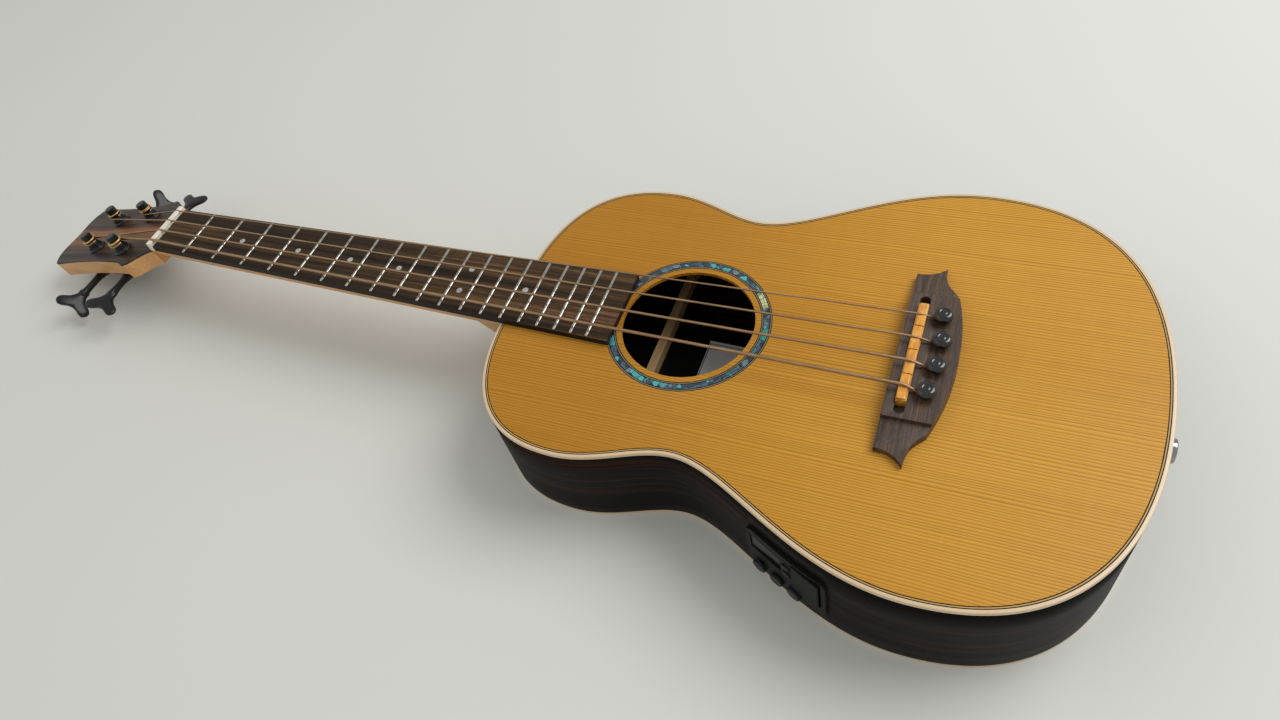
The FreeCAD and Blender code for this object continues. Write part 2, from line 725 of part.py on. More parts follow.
def head_outline():
    """Half the head, from the nut to the tip, then mirrored."""
    start = Vector(0, NUT_LONG / 2, 0)
    shoulder = Vector(HEAD_SHOULDER_AT, HEAD_SHOULDER_HALF, 0)
    waist = Vector(HEAD_WAIST_AT, HEAD_WAIST_HALF, 0)
    tip = Vector(HEAD_TIP_AT, HEAD_TIP_HALF, 0)
    bow = Vector(HEAD_END_AT, HEAD_END_BOW_HALF, 0)
    middle = Vector(HEAD_END_AT - HEAD_END_DIP, 0, 0)
    ogee = Part.BezierCurve()
    leave, arrive = [Vector(u, y, 0) for u, y in HEAD_OGEE_PULLS]
    ogee.setPoles([start, start + leave, shoulder + arrive, shoulder])
    fall = Part.BezierCurve()
    leave, arrive = [Vector(u, y, 0) for u, y in HEAD_FALL_PULLS]
    fall.setPoles([shoulder, shoulder + leave, waist + arrive, waist])
    flank = Part.Arc(waist, (waist + tip) / 2 - Vector(0, HEAD_FLANK_BOW, 0), tip)
    end = Part.Arc(tip, (tip + bow) / 2 + Vector(*HEAD_CORNER_BOW, 0), bow)
    crest = Part.BezierCurve()
    leave, arrive = [Vector(u, y, 0) for u, y in HEAD_CREST_PULLS]
    crest.setPoles([bow, bow + leave, middle + arrive, middle])
    half = [ogee.toShape(), fall.toShape(), flank.toShape(), end.toShape(), crest.toShape()]
    other = [edge.mirror(Vector(0, 0, 0), Vector(0, 1, 0)) for edge in reversed(half)]
    base = Part.makeLine(Vector(0, -NUT_LONG / 2, 0), start)
    return Part.Wire(half + other + [base])


def head_slab(low, high):
    face = Part.Face(head_outline())
    face.translate(Vector(0, 0, low))
    return face.extrude(Vector(0, 0, high - low))


def post_bores(radius, low, high):
    bores = [rod(radius, Vector(u, y, low), Vector(u, y, high)) for u, y in POST_AT.values()]
    return Part.makeCompound(bores)


def headstock_veneer():
    veneer = head_slab(-VENEER_THICK, 0).cut(post_bores(BUSHING_BORE_R, -HEAD_THICK, ABOVE))
    return in_head(veneer).cut(box(Vector(-NUT_THICK, -BODY_LENGTH, -BELOW), Vector(0, BODY_LENGTH, ABOVE)))


def neck():
    """Shaft, heel and head of one piece of wood, with the truss rod's channel along its face."""
    stations = (-NUT_THICK, BODY_START - HEEL_LONG, BODY_START)
    sections = []
    for x in stations:
        half = interpolate(x, 0, NECK_HALF_AT_NUT, BODY_START, NECK_HALF_AT_HEEL)
        deep = interpolate(x, 0, NECK_DEEP_AT_NUT, BODY_START, NECK_DEEP_AT_HEEL)
        sections.append(neck_section(x, half, deep))
    wood = Part.makeLoft(sections, True, True)
    foot = -DEPTH_AT_NECK + BACK_THICK + HEEL_FOOT_GAP
    outlines = [heel_section(0, HEEL_LONG, NECK_HALF_AT_HEEL)]
    for drop, long, wide in HEEL_WAISTS:
        outlines.append(heel_section(drop * foot, HEEL_LONG * long, NECK_HALF_AT_HEEL * wide))
    outlines.append(heel_section(foot, HEEL_FOOT_LONG, HEEL_FOOT_HALF))
    wood = wood.fuse(Part.makeLoft(outlines, True, False))
    head = head_slab(-HEAD_THICK, -VENEER_THICK).cut(post_bores(BUSHING_BORE_R, -2 * HEAD_THICK, ABOVE))
    head = in_head(head)
    ramp = Part.makeLoft([
        neck_section(HEAD_RAMP, NECK_HALF_AT_NUT, NECK_DEEP_AT_NUT),
        neck_section(-NUT_THICK - HEAD_RAMP, NECK_HALF_AT_NUT, HEAD_THICK),
    ], True, True)
    over_head = in_head(box(Vector(-HEAD_RAMP, -BODY_LENGTH, -VENEER_THICK),
                            Vector(2 * HEAD_TIP_AT, BODY_LENGTH, ABOVE)))
    over_head = over_head.common(box(Vector(-BODY_LENGTH, -BODY_LENGTH, -BELOW),
                                     Vector(-NUT_THICK, BODY_LENGTH, ABOVE)))
    wood = wood.fuse(ramp).cut(over_head).fuse(head)
    wood = wood.cut(box(Vector(-NUT_THICK, -BODY_LENGTH, 0), Vector(BODY_END, BODY_LENGTH, ABOVE)))
    wood = wood.cut(plan_block(0, ABOVE, -BELOW)).cut(headstock_veneer()).cut(tuner_screws())
    return wood.cut(truss_channel()).removeSplitter()


def truss_channel():
    end = fret_x(1) / 2 + TRUSS_LONG
    return box(Vector(fret_x(1) / 2, -TRUSS_D / 2, -TRUSS_CHANNEL_DEEP),
               Vector(min(end, BODY_START - HEEL_FOOT_LONG), TRUSS_D / 2, 0))


def truss_rod():
    space = truss_channel().BoundBox
    return rod(TRUSS_D / 2 - POST_FIT, Vector(space.XMin, 0, space.ZMin + TRUSS_D / 2),
               Vector(space.XMax, 0, space.ZMin + TRUSS_D / 2))


# ---------------------------------------------------------------- tuners, in the head's frame

def side_of(name):
    return -1 if POST_AT[name][1] < 0 else 1


def tuner_post(name):
    """Post and worm wheel: the cap and flange hold the winding, the wheel sits under the plate."""
    u, y = POST_AT[name]
    foot = -WHEEL_TOP
    shaft_r = BUSHING_BORE_R - SLIP
    post = rod(shaft_r, Vector(u, y, foot), Vector(u, y, BUSHING_TALL + SLIP))
    post = post.fuse(rod(POST_R, Vector(u, y, 0), Vector(u, y, POST_TALL)))
    cap = rod(POST_CAP_R, Vector(u, y, POST_TALL - POST_CAP_TALL), Vector(u, y, POST_TALL))
    rim_edges = [edge for edge in cap.Edges if edge.CenterOfMass.z > POST_TALL - HAIR]
    post = post.fuse(cap.makeFillet(POST_CAP_ROUND, rim_edges))
    post = post.fuse(rod(POST_FLANGE_R, Vector(u, y, BUSHING_TALL + SLIP), Vector(u, y, POST_FLANGE_TOP)))
    post = post.removeSplitter()
    wheel = worm_wheel(u, y)
    return in_head(Part.makeCompound([post, wheel]))


def worm_wheel(u, y):
    """Straight-sided teeth round a disc, one tooth pointing at the worm."""
    pitch_r = WHEEL_TEETH * WHEEL_MODULE / 2
    root_r = pitch_r - TOOTH_DEDENDUM
    tip_r = pitch_r + TOOTH_ADDENDUM
    step = 2 * math.pi / WHEEL_TEETH
    root_half = step * TOOTH_SHARE * TOOTH_ROOT_SPREAD
    tip_half = step * TOOTH_TIP_SHARE / 2
    points = []
    for tooth in range(WHEEL_TEETH):
        middle = tooth * step
        for radius, angle in ((root_r, middle - root_half), (tip_r, middle - tip_half),
                              (tip_r, middle + tip_half), (root_r, middle + root_half)):
            points.append(Vector(u + radius * math.cos(angle), y + radius * math.sin(angle),
                                 -WHEEL_TOP - WHEEL_THICK))
    return prism(points, Vector(0, 0, WHEEL_THICK))


def winding(name):
    """The turns of string between the incoming string and the post's cap."""
    u, y = POST_AT[name]
    low = Vector(u, y, WINDING_LOW + STRING_D[name] + STRING_GAP)
    high = Vector(u, y, POST_TALL - POST_CAP_TALL - STRING_GAP)
    return in_head(rod(POST_R + STRING_D[name], low, high).cut(rod(POST_R, low, high)))


def tuner_bushings():
    """A flange on the face of the head with a sleeve down the bore, one to a post."""
    bushings = []
    for u, y in POST_AT.values():
        flange = Part.makeCone(BUSHING_R, BUSHING_TOP_R, BUSHING_TALL, Vector(u, y, 0))
        bore = rod(BUSHING_BORE_R - SLIP + POST_FIT, Vector(u, y, -HEAD_THICK), Vector(u, y, BUSHING_TALL))
        sleeve = rod(BUSHING_BORE_R, Vector(u, y, -HEAD_THICK), Vector(u, y, 0))
        bushings.append(flange.fuse(sleeve).cut(bore))
    return in_head(Part.makeCompound(bushings))


def plate_middle(name):
    u, y = POST_AT[name]
    return Vector(u + PLATE_SHIFT, y, 0)


def ear_spans(name):
    """Both bearing ears of a tuner, as y ranges either side of the worm."""
    y = POST_AT[name][1]
    inner = WORM_LONG / 2 + EAR_GAP
    return ((y - inner - EAR_THICK, y - inner), (y + inner, y + inner + EAR_THICK))


def tuner_plates():
    """Pressed plates on the back of the head, each with two ears that carry the worm."""
    plates = []
    for name in STRINGS:
        u, y = POST_AT[name]
        middle = plate_middle(name)
        plate = rounded_plate(PLATE_LONG, PLATE_WIDE, PLATE_CORNER, -HEAD_THICK - PLATE_THICK, -HEAD_THICK)
        plate.translate(middle)
        axis_u = u + WORM_OFFSET
        for low, high in ear_spans(name):
            ear = box(Vector(axis_u - EAR_WIDE / 2, low, -WORM_DROP),
                      Vector(axis_u + EAR_WIDE / 2, high, -HEAD_THICK - PLATE_THICK / 2))
            ear_round = rod(EAR_BELOW_AXIS, Vector(axis_u, low, -WORM_DROP), Vector(axis_u, high, -WORM_DROP))
            ear = ear.fuse(ear_round)
            plate = plate.fuse(ear)
        plate = plate.cut(rod(BUSHING_BORE_R, Vector(u, y, -BELOW), Vector(u, y, 0)))
        plate = plate.cut(rod(WORM_SHAFT_R + POST_FIT, Vector(axis_u, y - PLATE_WIDE, -WORM_DROP),
                              Vector(axis_u, y + PLATE_WIDE, -WORM_DROP)))
        for place in screw_places(name):
            plate = plate.cut(rod(SCREW_R, place - Vector(0, 0, BELOW), place))
        plates.append(plate)
    return in_head(Part.makeCompound(plates))


def screw_places(name):
    middle = plate_middle(name)
    half_long = PLATE_LONG / 2 - SCREW_INSET
    half_wide = PLATE_WIDE / 2 - SCREW_INSET
    return [middle + Vector(a * half_long, b * half_wide, 0) for a, b in ((-1, -1), (-1, 1), (1, -1), (1, 1))]


def screw(place):
    seat = -HEAD_THICK - PLATE_THICK
    shank = rod(SCREW_R, place + Vector(0, 0, seat), place + Vector(0, 0, seat + SCREW_LONG))
    head = rod(SCREW_HEAD_R, place + Vector(0, 0, seat - SCREW_HEAD_TALL), place + Vector(0, 0, seat))
    lower = [edge for edge in head.Edges if edge.CenterOfMass.z < seat - SCREW_HEAD_TALL + HAIR]
    return shank.fuse(head.makeFillet(SCREW_HEAD_ROUND, lower))


def tuner_screws():
    return in_head(Part.makeCompound([screw(place) for name in STRINGS for place in screw_places(name)]))


def key_blade():
    """A two-lobed key in the x, y plane: x is along the shaft, its end at KEY_BLADE_LONG."""
    lobe = Vector(KEY_BLADE_LONG - KEY_LOBE_R, KEY_HALF - KEY_LOBE_R, 0)
    root = Vector(0, KEY_NECK_HALF, 0)
    flank_end = lobe + Vector(-LOBE_ALONG, LOBE_ACROSS, 0) * KEY_LOBE_R
    flank_middle = Vector(KEY_BLADE_LONG * KEY_FLANK_AT, KEY_NECK_HALF + KEY_HALF * KEY_FLANK_OUT, 0)
    lobe_out = lobe + Vector(LOBE_ACROSS, LOBE_ALONG, 0) * KEY_LOBE_R
    lobe_in = lobe + Vector(LOBE_ALONG, -LOBE_ACROSS, 0) * KEY_LOBE_R
    dip_middle = Vector(KEY_BLADE_LONG - KEY_LOBE_R * KEY_DIP, 0, 0)
    half = [
        Part.Arc(root, flank_middle, flank_end).toShape(),
        Part.Arc(flank_end, lobe_out, lobe_in).toShape(),
    ]
    other = [edge.mirror(Vector(0, 0, 0), Vector(0, 1, 0)) for edge in reversed(half)]
    dip = Part.Arc(lobe_in, dip_middle, Vector(lobe_in.x, -lobe_in.y, 0)).toShape()
    base = Part.makeLine(root, root * -1)
    face = Part.Face(Part.Wire(half + [dip] + other + [base]))
    face.translate(Vector(0, 0, -KEY_BLADE_THICK / 2))
    return face.extrude(Vector(0, 0, KEY_BLADE_THICK))


def worm_thread():
    """A trapezoid thread round the shaft, along z, centred on the origin."""
    root_r = WORM_R - TOOTH_ADDENDUM
    tip_r = WORM_R + TOOTH_ADDENDUM * THREAD_TALL_SHARE
    root_half = WORM_PITCH * THREAD_ROOT_SHARE + THREAD_SINK * THREAD_FLARE
    tip_half = WORM_PITCH * THREAD_TIP_SHARE
    length = WORM_TURNS * WORM_PITCH
    helix = Part.makeHelix(WORM_PITCH, length, root_r)
    inner = root_r - THREAD_SINK
    profile = Part.makePolygon([Vector(inner, 0, -root_half), Vector(tip_r, 0, -tip_half),
                                Vector(tip_r, 0, tip_half), Vector(inner, 0, root_half),
                                Vector(inner, 0, -root_half)])
    thread = Part.Wire(helix).makePipeShell([profile], True, True)
    thread.translate(Vector(0, 0, -length / 2))
    return thread


def tuner_key(name):
    """Worm, shaft and key as one turning piece, lying across the head."""
    u, y = POST_AT[name]
    sign = side_of(name)
    inner = WORM_LONG / 2 + EAR_GAP + EAR_THICK
    reach = KEY_END_AT - abs(y)
    core = rod(WORM_R - TOOTH_ADDENDUM, Vector(0, 0, -WORM_LONG / 2), Vector(0, 0, WORM_LONG / 2))
    shaft = rod(WORM_SHAFT_R, Vector(0, 0, -inner), Vector(0, 0, reach - KEY_BLADE_LONG))
    collar = rod(KEY_NECK_HALF, Vector(0, 0, inner + SLIP), Vector(0, 0, reach - KEY_BLADE_LONG))
    blade = key_blade()
    blade.rotate(Vector(0, 0, 0), Vector(0, 1, 0), -90)
    blade.translate(Vector(0, 0, reach - KEY_BLADE_LONG))
    blade.rotate(Vector(0, 0, 0), Vector(0, 0, 1), KEY_TURN[name])
    body = core.fuse(shaft).fuse(collar).fuse(blade).fuse(worm_thread())
    body.rotate(Vector(0, 0, 0), Vector(1, 0, 0), -90 * sign)
    body.translate(Vector(u + WORM_OFFSET, y, -WORM_DROP))
    return in_head(body)


# ---------------------------------------------------------------- strings and bridge

def nut_y(name):
    return -NUT_SPREAD / 2 + STRINGS.index(name) * NUT_SPREAD / 3


def saddle_y(name):
    return -SADDLE_SPREAD / 2 + STRINGS.index(name) * SADDLE_SPREAD / 3


def winding_contact(name):
    """Where a string reaches its post: the tangent point on the side nearer the middle."""
    u, y = POST_AT[name]
    radius = POST_R + STRING_D[name] / 2 + STRING_GAP
    start = Vector(0, nut_y(name), 0)
    middle = Vector(u, y, 0)
    line = start.sub(middle)
    swing = math.acos(radius / line.Length) * side_of(name)
    angle = math.atan2(line.y, line.x) + swing
    height = WINDING_LOW + STRING_D[name] / 2
    return head_point(u + radius * math.cos(angle), y + radius * math.sin(angle), height)


def string_path(name):
    """Winding, head side of the nut, board side of the nut, saddle, pin flute, ball."""
    radius = STRING_D[name] / 2
    over_nut = FRET_PLANE + STRING_OVER_NUT_FRET + radius
    pin = pin_places()[STRINGS.index(name)]
    flute_x = pin.x - PIN_R + radius
    return [
        winding_contact(name),
        Vector(-NUT_THICK * 0.6, nut_y(name), over_nut),
        Vector(0, nut_y(name), over_nut),
        Vector(SADDLE_X, saddle_y(name), SADDLE_TOP + radius),
        Vector(flute_x, pin.y, BRIDGE_THICK),
        Vector(flute_x, pin.y, -TOP_THICK - BRIDGE_PLATE_THICK - radius),
    ]


def string(name):
    """One wound string with its brass ball under the bridge plate."""
    path = string_path(name)
    pin = pin_places()[STRINGS.index(name)]
    under = -TOP_THICK - BRIDGE_PLATE_THICK
    ball = rod(BALL_R, Vector(path[-1].x, pin.y, under - BALL_TALL), Vector(path[-1].x, pin.y, under))
    return Part.makeCompound([tube(path, STRING_D[name] / 2).cut(ball), ball])


def bridge_outline():
    front = BRIDGE_HALF_FRONT
    back = BRIDGE_HALF_BACK
    belly = BRIDGE_BELLY_HALF
    left = Vector(BRIDGE_FRONT, front, 0)
    tip = Vector(BRIDGE_WING_BACK - BRIDGE_TIP_BACK, back, 0)
    waist_in = Vector(BRIDGE_WING_BACK + BRIDGE_WAIST_IN[0], front - BRIDGE_WAIST_IN[1], 0)
    shoulder = Vector(BRIDGE_WING_BACK + BRIDGE_SHOULDER_BACK, belly, 0)
    crown = Vector(BRIDGE_BELLY, 0, 0)
    end = Part.Arc(left, (left + tip) / 2 + Vector(*BRIDGE_END_BOW, 0), tip)
    waist = Part.Arc(tip, (tip + waist_in) / 2 - Vector(BRIDGE_WAIST_BOW, 0, 0), waist_in)
    flare = Part.BezierCurve()
    leave, arrive = [Vector(x, y, 0) for x, y in BRIDGE_FLARE_PULLS]
    flare.setPoles([waist_in, waist_in + leave, shoulder + arrive, shoulder])
    round_back = Part.Arc(shoulder, Vector(BRIDGE_BELLY - BRIDGE_BELLY_BOW, belly / 2, 0), crown)
    half = [end.toShape(), waist.toShape(), flare.toShape(), round_back.toShape()]
    other = [edge.mirror(Vector(0, 0, 0), Vector(0, 1, 0)) for edge in reversed(half)]
    base = Part.makeLine(Vector(left.x, -left.y, 0), left)
    return Part.Wire(half + other + [base])


def bridge():
    """A belly bridge: full height in the middle, a small step down to wings that thin outwards."""
    block = Part.Face(bridge_outline()).extrude(Vector(0, 0, BRIDGE_THICK))
    for sign in (-1, 1):
        over_wing = prism([
            Vector(0, sign * WING_FROM, WING_THICK), Vector(0, sign * WING_FROM, ABOVE),
            Vector(0, sign * 2 * BRIDGE_HALF_BACK, ABOVE),
            Vector(0, sign * BRIDGE_HALF_BACK, WING_TIP_THICK)], Vector(2 * SCALE, 0, 0))
        block = block.cut(over_wing)
    slot = rounded_plate(SADDLE_THICK, SADDLE_SLOT_LONG, SADDLE_THICK / 2 - HAIR,
                         BRIDGE_THICK - SADDLE_SLOT_DEEP, BRIDGE_THICK + ABOVE)
    slot.translate(Vector(SADDLE_X, 0, 0))
    block = block.cut(slot)
    for name in STRINGS:
        block = block.cut(tube(string_path(name)[3:5], STRING_D[name] / 2))
    return block.cut(pin_holes(-BELOW, ABOVE))


def saddle_pickup():
    low = BRIDGE_THICK - SADDLE_SLOT_DEEP
    return box(Vector(SADDLE_X - PICKUP_WIDE / 2, -SADDLE_LONG / 2, low),
               Vector(SADDLE_X + PICKUP_WIDE / 2, SADDLE_LONG / 2, low + PICKUP_THICK))


def saddle():
    """A bone blade with one compensated pad to a string."""
    low = BRIDGE_THICK - SADDLE_SLOT_DEEP + PICKUP_THICK
    half = SADDLE_THICK / 2
    blade = box(Vector(SADDLE_X - half, -SADDLE_LONG / 2, low),
                Vector(SADDLE_X + half, SADDLE_LONG / 2, SADDLE_TOP - SADDLE_PAD_TALL))
    pad_long = SADDLE_LONG / 4
    for index, name in enumerate(STRINGS):
        shift = SADDLE_PAD_SHIFT * (1 if index % 2 else -1)
        start = -SADDLE_LONG / 2 + index * pad_long + SADDLE_PAD_GAP / 2
        pad = box(Vector(SADDLE_X - half + max(0, shift), start, SADDLE_TOP - SADDLE_PAD_TALL),
                  Vector(SADDLE_X + half + min(0, shift), start + pad_long - SADDLE_PAD_GAP, SADDLE_TOP))
        along = [edge for edge in pad.Edges if edge.CenterOfMass.z > SADDLE_TOP - HAIR
                 and abs(edge.tangentAt(edge.FirstParameter).y) > 0.99]
        blade = blade.fuse(pad.makeFillet(SADDLE_PAD_ROUND, along))
    for name in STRINGS:
        blade = blade.cut(tube(string_path(name)[2:5], STRING_D[name] / 2))
    return blade.removeSplitter()


def bridge_pin(place, name):
    """A fluted shaft, a collar that stands over the bridge and a domed head."""
    foot = place + Vector(0, 0, -TOP_THICK - BRIDGE_PLATE_THICK - PIN_BELOW)
    seat = place + Vector(0, 0, PIN_SEAT)
    top = place + Vector(0, 0, PIN_SEAT + PIN_HEAD_TALL)
    head = rod(PIN_HEAD_R, seat, top)
    crown = [edge for edge in head.Edges if edge.CenterOfMass.z > top.z - HAIR]
    head = head.makeFillet(PIN_DOME, crown)
    pin = rod(PIN_R, foot, seat).fuse(head)
    radius = STRING_D[name] / 2
    flute_x = place.x - PIN_R + radius
    start = Vector(flute_x, place.y, foot.z - SLIP)
    flute = rod(radius, start, Vector(flute_x, place.y, PIN_SEAT))
    mouth = box(Vector(place.x - 2 * PIN_R, place.y - radius, start.z),
                Vector(flute_x, place.y + radius, PIN_SEAT))
    ball_room = rod(BALL_R + SLIP, start,
                    Vector(flute_x, place.y, -TOP_THICK - BRIDGE_PLATE_THICK + SLIP))
    return pin.cut(flute.fuse(mouth)).cut(ball_room).cut(tube(string_path(name)[3:], radius))


def bridge_pins():
    places = pin_places()
    return Part.makeCompound([bridge_pin(place, name) for place, name in zip(places, STRINGS)])


# ---------------------------------------------------------------- preamp in the bass side

def side_frame(along):
    """Placement at a distance along the bass side from the waist: x towards the tail, z outwards."""
    edge = BASS_EDGES[2]
    at = edge.getParameterByLength(along)
    point = edge.valueAt(at)
    forward = edge.tangentAt(at)
    forward.normalize()
    outward = Vector(forward.y, -forward.x, 0)
    up = outward.cross(forward)
    return Placement(point + Vector(0, 0, -PANEL_DROP), Rotation(forward, up, outward, "XYZ"))


def on_side(shape, along):
    moved = shape.copy()
    moved.Placement = side_frame(along).multiply(moved.Placement)
    return moved


def panel_box(at, size, low, high):
    """A box over the panel, about a point of it, between two heights over the side."""
    return box(Vector(at[0] - size[0] / 2, at[1] - size[1] / 2, low),
               Vector(at[0] + size[0] / 2, at[1] + size[1] / 2, high))


def grown(size, extra):
    return tuple(value + 2 * extra for value in size)


def controls_cut(extra):
    """Holes through the panel for the knobs' shafts, the buttons and the battery door."""
    shapes = [panel_box(at, grown(BUTTON_SIZE, extra), -ABOVE, ABOVE) for at in BUTTON_AT.values()]
    for x in KNOB_AT.values():
        shapes.append(rod(KNOB_SHAFT_R + extra, Vector(x, KNOB_DROP, -ABOVE), Vector(x, KNOB_DROP, ABOVE)))
    return shapes


def preamp_panel():
    """A thin plate that follows the side's curve, with rounded ends."""
    band = plan_face(-PANEL_THICK).cut(plan_face(0))
    band.translate(Vector(0, 0, -DEPTH_AT_TAIL))
    band = band.extrude(Vector(0, 0, DEPTH_AT_TAIL))
    panel = band.common(on_side(rounded_plate(PANEL_LONG, PANEL_TALL, PANEL_CORNER, -ABOVE, ABOVE), PANEL_AT))
    cuts = controls_cut(SLIP)
    cuts.append(panel_box(SCREEN_AT, SCREEN_SIZE, -ABOVE, ABOVE))
    cuts.append(panel_box(DOOR_AT, grown(DOOR_SIZE, DOOR_GAP), -ABOVE, ABOVE))
    for cut in cuts:
        panel = panel.cut(on_side(cut, PANEL_AT))
    return panel


def housing_space(extra):
    """The room that the preamp takes inside the body, battery sleeve included."""
    main = panel_box((0, 0), (PANEL_LONG - 2 * PANEL_LIP + 2 * extra, PANEL_TALL - 2 * PANEL_LIP + 2 * extra),
                     -HOUSING_DEEP - extra, ABOVE)
    sleeve = grown(BATTERY_SIZE[:2], SLIP + HOUSING_WALL + extra)
    return main.fuse(panel_box(DOOR_AT, sleeve, battery_low() - HOUSING_SPARE - extra, -BATTERY_BEHIND_TOP))


def preamp_housing():
    size = (PANEL_LONG - 2 * PANEL_LIP - 2 * SLIP, PANEL_TALL - 2 * PANEL_LIP - 2 * SLIP)
    shell = panel_box((0, 0), size, -HOUSING_DEEP, HOUSING_TOP)
    sleeve_out = panel_box(DOOR_AT, grown(BATTERY_SIZE[:2], SLIP + HOUSING_WALL),
                           battery_low() - HOUSING_WALL, HOUSING_TOP)
    sleeve_out = sleeve_out.common(panel_box((0, 0), size, -4 * HOUSING_DEEP, HOUSING_TOP))
    room = panel_box((0, 0), grown(size, -HOUSING_WALL), -HOUSING_DEEP + HOUSING_WALL, ABOVE)
    shell = shell.cut(room).fuse(sleeve_out)
    battery_room = panel_box(DOOR_AT, grown(BATTERY_SIZE[:2], SLIP), battery_low(), ABOVE)
    return on_side(shell.cut(battery_room), PANEL_AT)


def battery_low():
    return HOUSING_TOP - BATTERY_BEHIND_TOP - BATTERY_SIZE[2]


def battery():
    low = battery_low()
    size = BATTERY_SIZE[:2]
    return on_side(panel_box(DOOR_AT, size, low, low + BATTERY_SIZE[2]), PANEL_AT)


def screen():
    size = grown(SCREEN_SIZE, -SCREEN_FIT)
    return on_side(panel_box(SCREEN_AT, size, SCREEN_PROUD - SCREEN_THICK, SCREEN_PROUD), PANEL_AT)


def knob(x):
    """A fluted cap on a steel shaft that reaches into the housing."""
    low = PANEL_THICK + KNOB_GAP
    cap = rod(KNOB_R, Vector(x, KNOB_DROP, low), Vector(x, KNOB_DROP, low + KNOB_TALL))
    top = [edge for edge in cap.Edges if edge.CenterOfMass.z > low + KNOB_TALL - HAIR]
    cap = cap.makeFillet(KNOB_ROUND, top)
    for index in range(KNOB_FLUTES):
        angle = 2 * math.pi * index / KNOB_FLUTES
        flute_x = x + (KNOB_R + KNOB_FLUTE_OUT) * math.cos(angle)
        flute_y = KNOB_DROP + (KNOB_R + KNOB_FLUTE_OUT) * math.sin(angle)
        foot = Vector(flute_x, flute_y, low)
        cap = cap.cut(rod(KNOB_FLUTE_R, foot, foot + Vector(0, 0, KNOB_TALL)))
    shaft = rod(KNOB_SHAFT_R, Vector(x, KNOB_DROP, -HOUSING_DEEP / 2), Vector(x, KNOB_DROP, low))
    return on_side(cap.fuse(shaft), PANEL_AT)


def button(name):
    at = BUTTON_AT[name]
    cap = panel_box(at, BUTTON_SIZE, -BUTTON_DEEP, PANEL_THICK + BUTTON_PROUD)
    rim_edges = [edge for edge in cap.Edges if edge.BoundBox.ZMin > PANEL_THICK + BUTTON_PROUD - HAIR]
    return on_side(cap.makeFillet(BUTTON_ROUND, rim_edges), PANEL_AT)


def door_hinge_x():
    return DOOR_AT[0] + DOOR_SIZE[0] / 2 - DOOR_THICK / 2


def battery_door():
    """A lid over the battery that swings on the rounded edge nearer the tail."""
    low = PANEL_THICK + DOOR_PROUD - DOOR_THICK
    hinge = door_hinge_x()
    lid = box(Vector(DOOR_AT[0] - DOOR_SIZE[0] / 2, DOOR_AT[1] - DOOR_SIZE[1] / 2, low),
              Vector(hinge, DOOR_AT[1] + DOOR_SIZE[1] / 2, low + DOOR_THICK))
    knuckle = rod(DOOR_THICK / 2, Vector(hinge, DOOR_AT[1] - DOOR_SIZE[1] / 2, low + DOOR_THICK / 2),
                  Vector(hinge, DOOR_AT[1] + DOOR_SIZE[1] / 2, low + DOOR_THICK / 2))
    return on_side(lid.fuse(knuckle).removeSplitter(), PANEL_AT)


# ---------------------------------------------------------------- output jack and inner leads

def jack_hole():
    return rod(JACK_R, Vector(BODY_END - JACK_LONG, 0, -JACK_DROP), Vector(BODY_END + ABOVE, 0, -JACK_DROP))


def jack_barrel():
    end = BODY_END + JACK_PROUD
    barrel = rod(JACK_R, Vector(end - JACK_LONG, 0, -JACK_DROP), Vector(end, 0, -JACK_DROP))
    plug = rod(JACK_PLUG_R, Vector(end - JACK_BORE_LONG, 0, -JACK_DROP), Vector(end + ABOVE, 0, -JACK_DROP))
    return barrel.cut(plug)


def jack_nut():
    """Washer and round strap nut outside the tail."""
    face = BODY_END
    washer = rod(JACK_WASHER_R, Vector(face, 0, -JACK_DROP), Vector(face + JACK_WASHER_TALL, 0, -JACK_DROP))
    nut_start = face + JACK_PROUD - JACK_RING_TALL
    ring = rod(JACK_RING_R, Vector(nut_start, 0, -JACK_DROP), Vector(face + JACK_PROUD, 0, -JACK_DROP))
    waist_start = Vector(face + JACK_WASHER_TALL, 0, -JACK_DROP)
    waist = rod(JACK_WAIST_R, waist_start, Vector(nut_start, 0, -JACK_DROP))
    outer = [edge for edge in ring.Edges if edge.CenterOfMass.x > face + JACK_PROUD - HAIR]
    ring = ring.makeFillet(JACK_RING_ROUND, outer).fuse(waist)
    return Part.makeCompound([washer.cut(jack_hole()), ring.cut(jack_hole())])


def rounded_route(points, radius):
    """Straight runs joined by tangent arcs of one radius."""
    edges = []
    start = points[0]
    for before, corner, after in zip(points, points[1:], points[2:]):
        into = (corner - before).normalize()
        out = (after - corner).normalize()
        turn = into.getAngle(out)
        back = radius * math.tan(turn / 2)
        first = corner - into * back
        last = corner + out * back
        toward = (out - into).normalize()
        middle = corner + toward * (radius / math.cos(turn / 2) - radius)
        edges.append(Part.makeLine(start, first))
        edges.append(Part.Arc(first, middle, last).toShape())
        start = last
    edges.append(Part.makeLine(start, points[-1]))
    return Part.Wire(edges)


def lead(points, radius):
    route = rounded_route(points, radius)
    direction = points[1] - points[0]
    section = Part.Wire(Part.Circle(points[0], direction, LEAD_D / 2).toShape())
    return route.makePipeShell([section], True, False)


